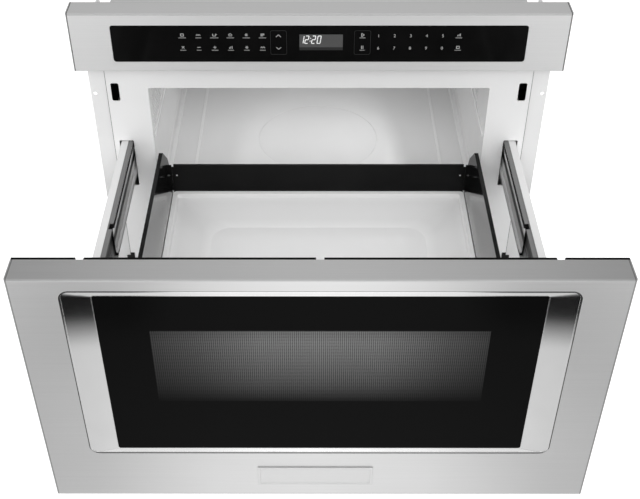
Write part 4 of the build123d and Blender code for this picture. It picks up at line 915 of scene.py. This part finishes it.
# a dark strip in the joint round the surround: painted shade for the shadow in its gap
joint = line_frame(
    "surround_joint_shade", grown(opening_low, joint_overlap), grown(opening_high, joint_overlap),
    opening_corner, joint_width, door_front + joint_sunk, joint_depth,
)
fitted(joint, gap_shade_black, "drawer")
rim = line_frame(
    "surround_rim", grown(opening_low, -joint_width), grown(opening_high, -joint_width),
    opening_corner - joint_width, rim_width, bezel_low.y - rim_proud, rim_depth,
)
fitted(rim, finishes["polished_steel"], "drawer")
pane_rim = line_frame(
    "pane_rim",
    grown((pane_low.x, pane_low.z), pane_line), grown((pane_high.x, pane_high.z), pane_line),
    pane_corner, pane_line, pane_low.y - rim_proud, rim_depth,
)
fitted(pane_rim, finishes["polished_steel"], "drawer")


# ------------------------------------------------------------------ pieces on both sides of the cabinet

# dark strips in the seams of the side flanges: painted shade for the shadow in the gaps
seam_across = (273.05 * MM, 273.55 * MM)
seam_sunk, seam_depth, seam_round = 0.25 * MM, 0.6 * MM, 0.1 * MM
seam_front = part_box("front_frame")[0].y + seam_sunk
flange_low, flange_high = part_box("side_flange_left")
for label, side in SIDES:
    seam_shade = side_block(
        "flange_seam_shade", label, side, seam_across, (seam_front, seam_front + seam_depth),
        (flange_low.z, flange_high.z), seam_round,
    )
    fitted(seam_shade, gap_shade_black, "cabinet")

# beads pressed in the cavity's walls, and ribs and steps pressed in its floor, in an enamel painted
# brighter as highlight
pressed_along = (-288.0 * MM, 110.0 * MM)
wall_face = 219.85 * MM
wall_sunk = 0.3 * MM
bead_proud = 2.4 * MM
bead_level, bead_half_height = 217.5 * MM, 2.6 * MM
floor_face = 114.65 * MM
floor_sunk = 0.3 * MM
rib_centre, rib_half_width = 178.0 * MM, 2.4 * MM
rib_proud = 1.1 * MM
step_proud = 2.4 * MM
# name, the two ends across, the two ends up and the edge radius
pressed_pieces = [
    (
        "cavity_bead",
        (wall_face - bead_proud, wall_face + wall_sunk),
        (bead_level - bead_half_height, bead_level + bead_half_height),
        1.2 * MM,
    ),
    (
        "cavity_rib",
        (rib_centre - rib_half_width, rib_centre + rib_half_width),
        (floor_face - floor_sunk, floor_face + rib_proud),
        0.5 * MM,
    ),
    (
        "cavity_step",
        (210.8 * MM, 220.0 * MM),
        (floor_face - floor_sunk, floor_face + step_proud),
        1.0 * MM,
    ),
]
for label, side in SIDES:
    for name, across, up, radius in pressed_pieces:
        pressed = side_block(name, label, side, across, pressed_along, up, radius)
        fitted(pressed, bead_highlight_enamel, "cabinet")

# dark strips inside the case, behind the slots of the latches: painted shade that keeps the slots dark
slot_shade_across = (271.3 * MM, 271.9 * MM)
slot_shade_along = (-284.0 * MM, -225.0 * MM)
slot_shade_up = (245.0 * MM, 305.0 * MM)
slot_shade_round = 0.2 * MM
for label, side in SIDES:
    slot_shade = side_block(
        "latch_slot_shade", label, side, slot_shade_across, slot_shade_along, slot_shade_up, slot_shade_round,
    )
    fitted(slot_shade, matt_black, "cabinet")

# a thin pale ring in the gap round the pale floor cover: painted light over the shade in the gap
cover_low, cover_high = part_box("stirrer_cover")
cover_centre = (cover_low + cover_high) / 2
cover_radius = (cover_high.x - cover_low.x) / 2
ring_thick, ring_gap = 0.6 * MM, 0.45 * MM
bpy.ops.mesh.primitive_torus_add(
    location=(cover_centre.x, cover_centre.y, floor_face - ring_thick),
    major_radius=cover_radius + ring_gap, minor_radius=ring_thick,
    major_segments=96, minor_segments=8,
)
cover_gap_light = settle(bpy.context.active_object, "cover_gap_light")
bpy.ops.object.shade_smooth_by_angle(angle=math.radians(40.0))
fitted(cover_gap_light, finishes["white_plastic"], "cabinet")


# ------------------------------------------------------------------ floor and reflector card

floor_level = 0.0
floor_drop = 0.5 * MM
floor_size, floor_middle = 12.0, (0.0, 1.0)
floor_tone, floor_glow = 0.80, 0.6
mirrored_dimming = 0.64


def studio_floor():
    """The pale floor: it keeps the shadow, and camera, metal and glass see its own glow too."""
    bpy.ops.mesh.primitive_plane_add(size=floor_size, location=(*floor_middle, floor_level - floor_drop))
    floor = settle(bpy.context.active_object, "studio_floor")
    finish = Finish("studio floor", floor_tone, 0.9)
    direct, through, mirrored = finish.node(
        "ShaderNodeLightPath", out=("Is Camera Ray", "Is Transmission Ray", "Is Glossy Ray"),
    )
    seen = direct.larger(through).larger(mirrored)
    finish.feed("Base Color", floor_tone - mirrored_dimming * mirrored)
    finish.feed("Emission Color", floor_glow * seen)
    finish.feed("Emission Strength", 1.0)
    floor.data.materials.append(finish.material)


card_near, card_far = -0.7135, -2.9
card_half_width = 2.2
card_lift = 1.0 * MM
card_sheen = ((0.0, 1.0), (0.12, 0.94), (0.26, 0.66), (0.38, 0.56))
flag_near, flag_far = -0.985, -1.30
flag_inner, flag_outer = 0.235, 0.39
flag_edge = 0.03
flag_darkness = 0.99
near_level, far_level = 1.0, 1.5


def reflector_card():
    """A card on the floor in front, seen only in gloss: bright in its middle, with two dark flags."""
    bpy.ops.mesh.primitive_plane_add(
        size=1.0, location=(0.0, (card_near + card_far) / 2, floor_level + card_lift),
    )
    card = bpy.context.active_object
    card.scale = (2 * card_half_width, card_near - card_far, 1.0)
    settle(card, "reflector_card")
    finish = Finish("reflector card", 0.0, 1.0, Specular_IOR_Level=0.0, Emission_Strength=1.0)
    x, y, _ = finish.split(finish.place)
    across = x.size()
    sheen = finish.ramp(across, *card_sheen)
    near_edge = finish.slope(y, flag_near - flag_edge, flag_near + flag_edge, 1.0, 0.0)
    far_edge = finish.slope(y, flag_far - flag_edge, flag_far + flag_edge, 0.0, 1.0)
    side_edge = finish.slope(across, flag_inner - flag_edge, flag_inner + flag_edge, 0.0, 1.0)
    flag = near_edge * far_edge * side_edge * across.below(flag_outer)
    beyond = finish.slope(y, flag_far, flag_near, far_level, near_level)
    finish.feed("Emission Color", sheen * beyond * (1.0 - flag_darkness * flag))
    card.data.materials.append(finish.material)
    card.visible_camera = False
    card.visible_diffuse = False
    card.visible_shadow = False
    card.visible_transmission = False


studio_floor()
reflector_card()


# ------------------------------------------------------------------ sky, lamps and camera

# the sky's brightness in gloss: by height, by distance to the side, and how much more in front
sky_by_height = ((0.0, 0.95), (0.25, 0.78), (0.45, 0.76), (0.66, 0.90), (1.0, 0.5))
sky_by_side = (
    (0.0, 1.0), (0.07, 0.90), (0.14, 0.66), (0.20, 0.42), (0.26, 0.30), (0.34, 0.24),
)
sky_front_boost = 0.45


def studio_sky():
    """A white world; metal and glass see it dimmer, and darker at the sides than ahead."""
    world = bpy.data.worlds.new("studio")
    bpy.context.scene.world = world
    world.use_nodes = True
    sky = Network(world.node_tree)
    background = world.node_tree.nodes["Background"]
    sky.plug(background.inputs["Color"], grey(1.0))
    mirrored = sky.node("ShaderNodeLightPath", out="Is Glossy Ray")
    sideways, rearwards, upwards = sky.split(sky.node("ShaderNodeTexCoord", out="Generated"))
    level = sky.ramp(upwards, *sky_by_height)
    level = level * (1.0 + sky_front_boost * rearwards.below(0.0))
    level = level * sky.ramp(sideways.size(), *sky_by_side)
    sky.plug(background.inputs["Strength"], 1.0 + mirrored * (level - 1.0))


studio_sky()

# name, place, the point it faces, width, height and power in watts
lamps = [
    ("overhead_lamp", (0.0, -0.5, 2.6), (0.0, -0.3, 0.2), 2.4, 1.6, 4.0),
    ("front_lamp", (0.0, -3.0, 2.0), (0.0, -0.3, 0.2), 2.6, 1.2, 30.0),
    ("cavity_lamp_light", (-0.04, -0.14, 0.29), (-0.04, -0.2, 0.1), 0.34, 0.20, 0.10),
    ("left_wall_light", (0.12, -0.14, 0.22), (-0.22, -0.19, 0.20), 0.16, 0.10, 0.08),
    ("right_wall_light", (-0.12, -0.14, 0.22), (0.22, -0.19, 0.20), 0.16, 0.10, 0.035),
]
for name, place, target, width, height, power in lamps:
    bpy.ops.object.light_add(type="AREA", location=place)
    lamp = bpy.context.active_object
    lamp.name = name
    lamp.data.shape = "RECTANGLE"
    lamp.data.size = width
    lamp.data.size_y = height
    lamp.data.energy = power
    lamp.rotation_euler = (Vector(target) - Vector(place)).to_track_quat("-Z", "Y").to_euler()
    lamp.visible_glossy = name != "front_lamp"

camera_place = (-0.00625, -1.45325, 0.98990)
camera_dip = math.radians(39.8605)
camera_roll, camera_turn = 0.0009, 0.0016
bpy.ops.object.camera_add(location=camera_place)
camera = bpy.context.active_object
camera.rotation_euler = (upright - camera_dip, camera_roll, camera_turn)
camera.data.sensor_width = 36.0
camera.data.lens = 58.393
camera.data.shift_x = 0.01255
camera.data.shift_y = 0.00129
bpy.context.scene.camera = camera
bpy.context.scene.view_settings.view_transform = "Standard"
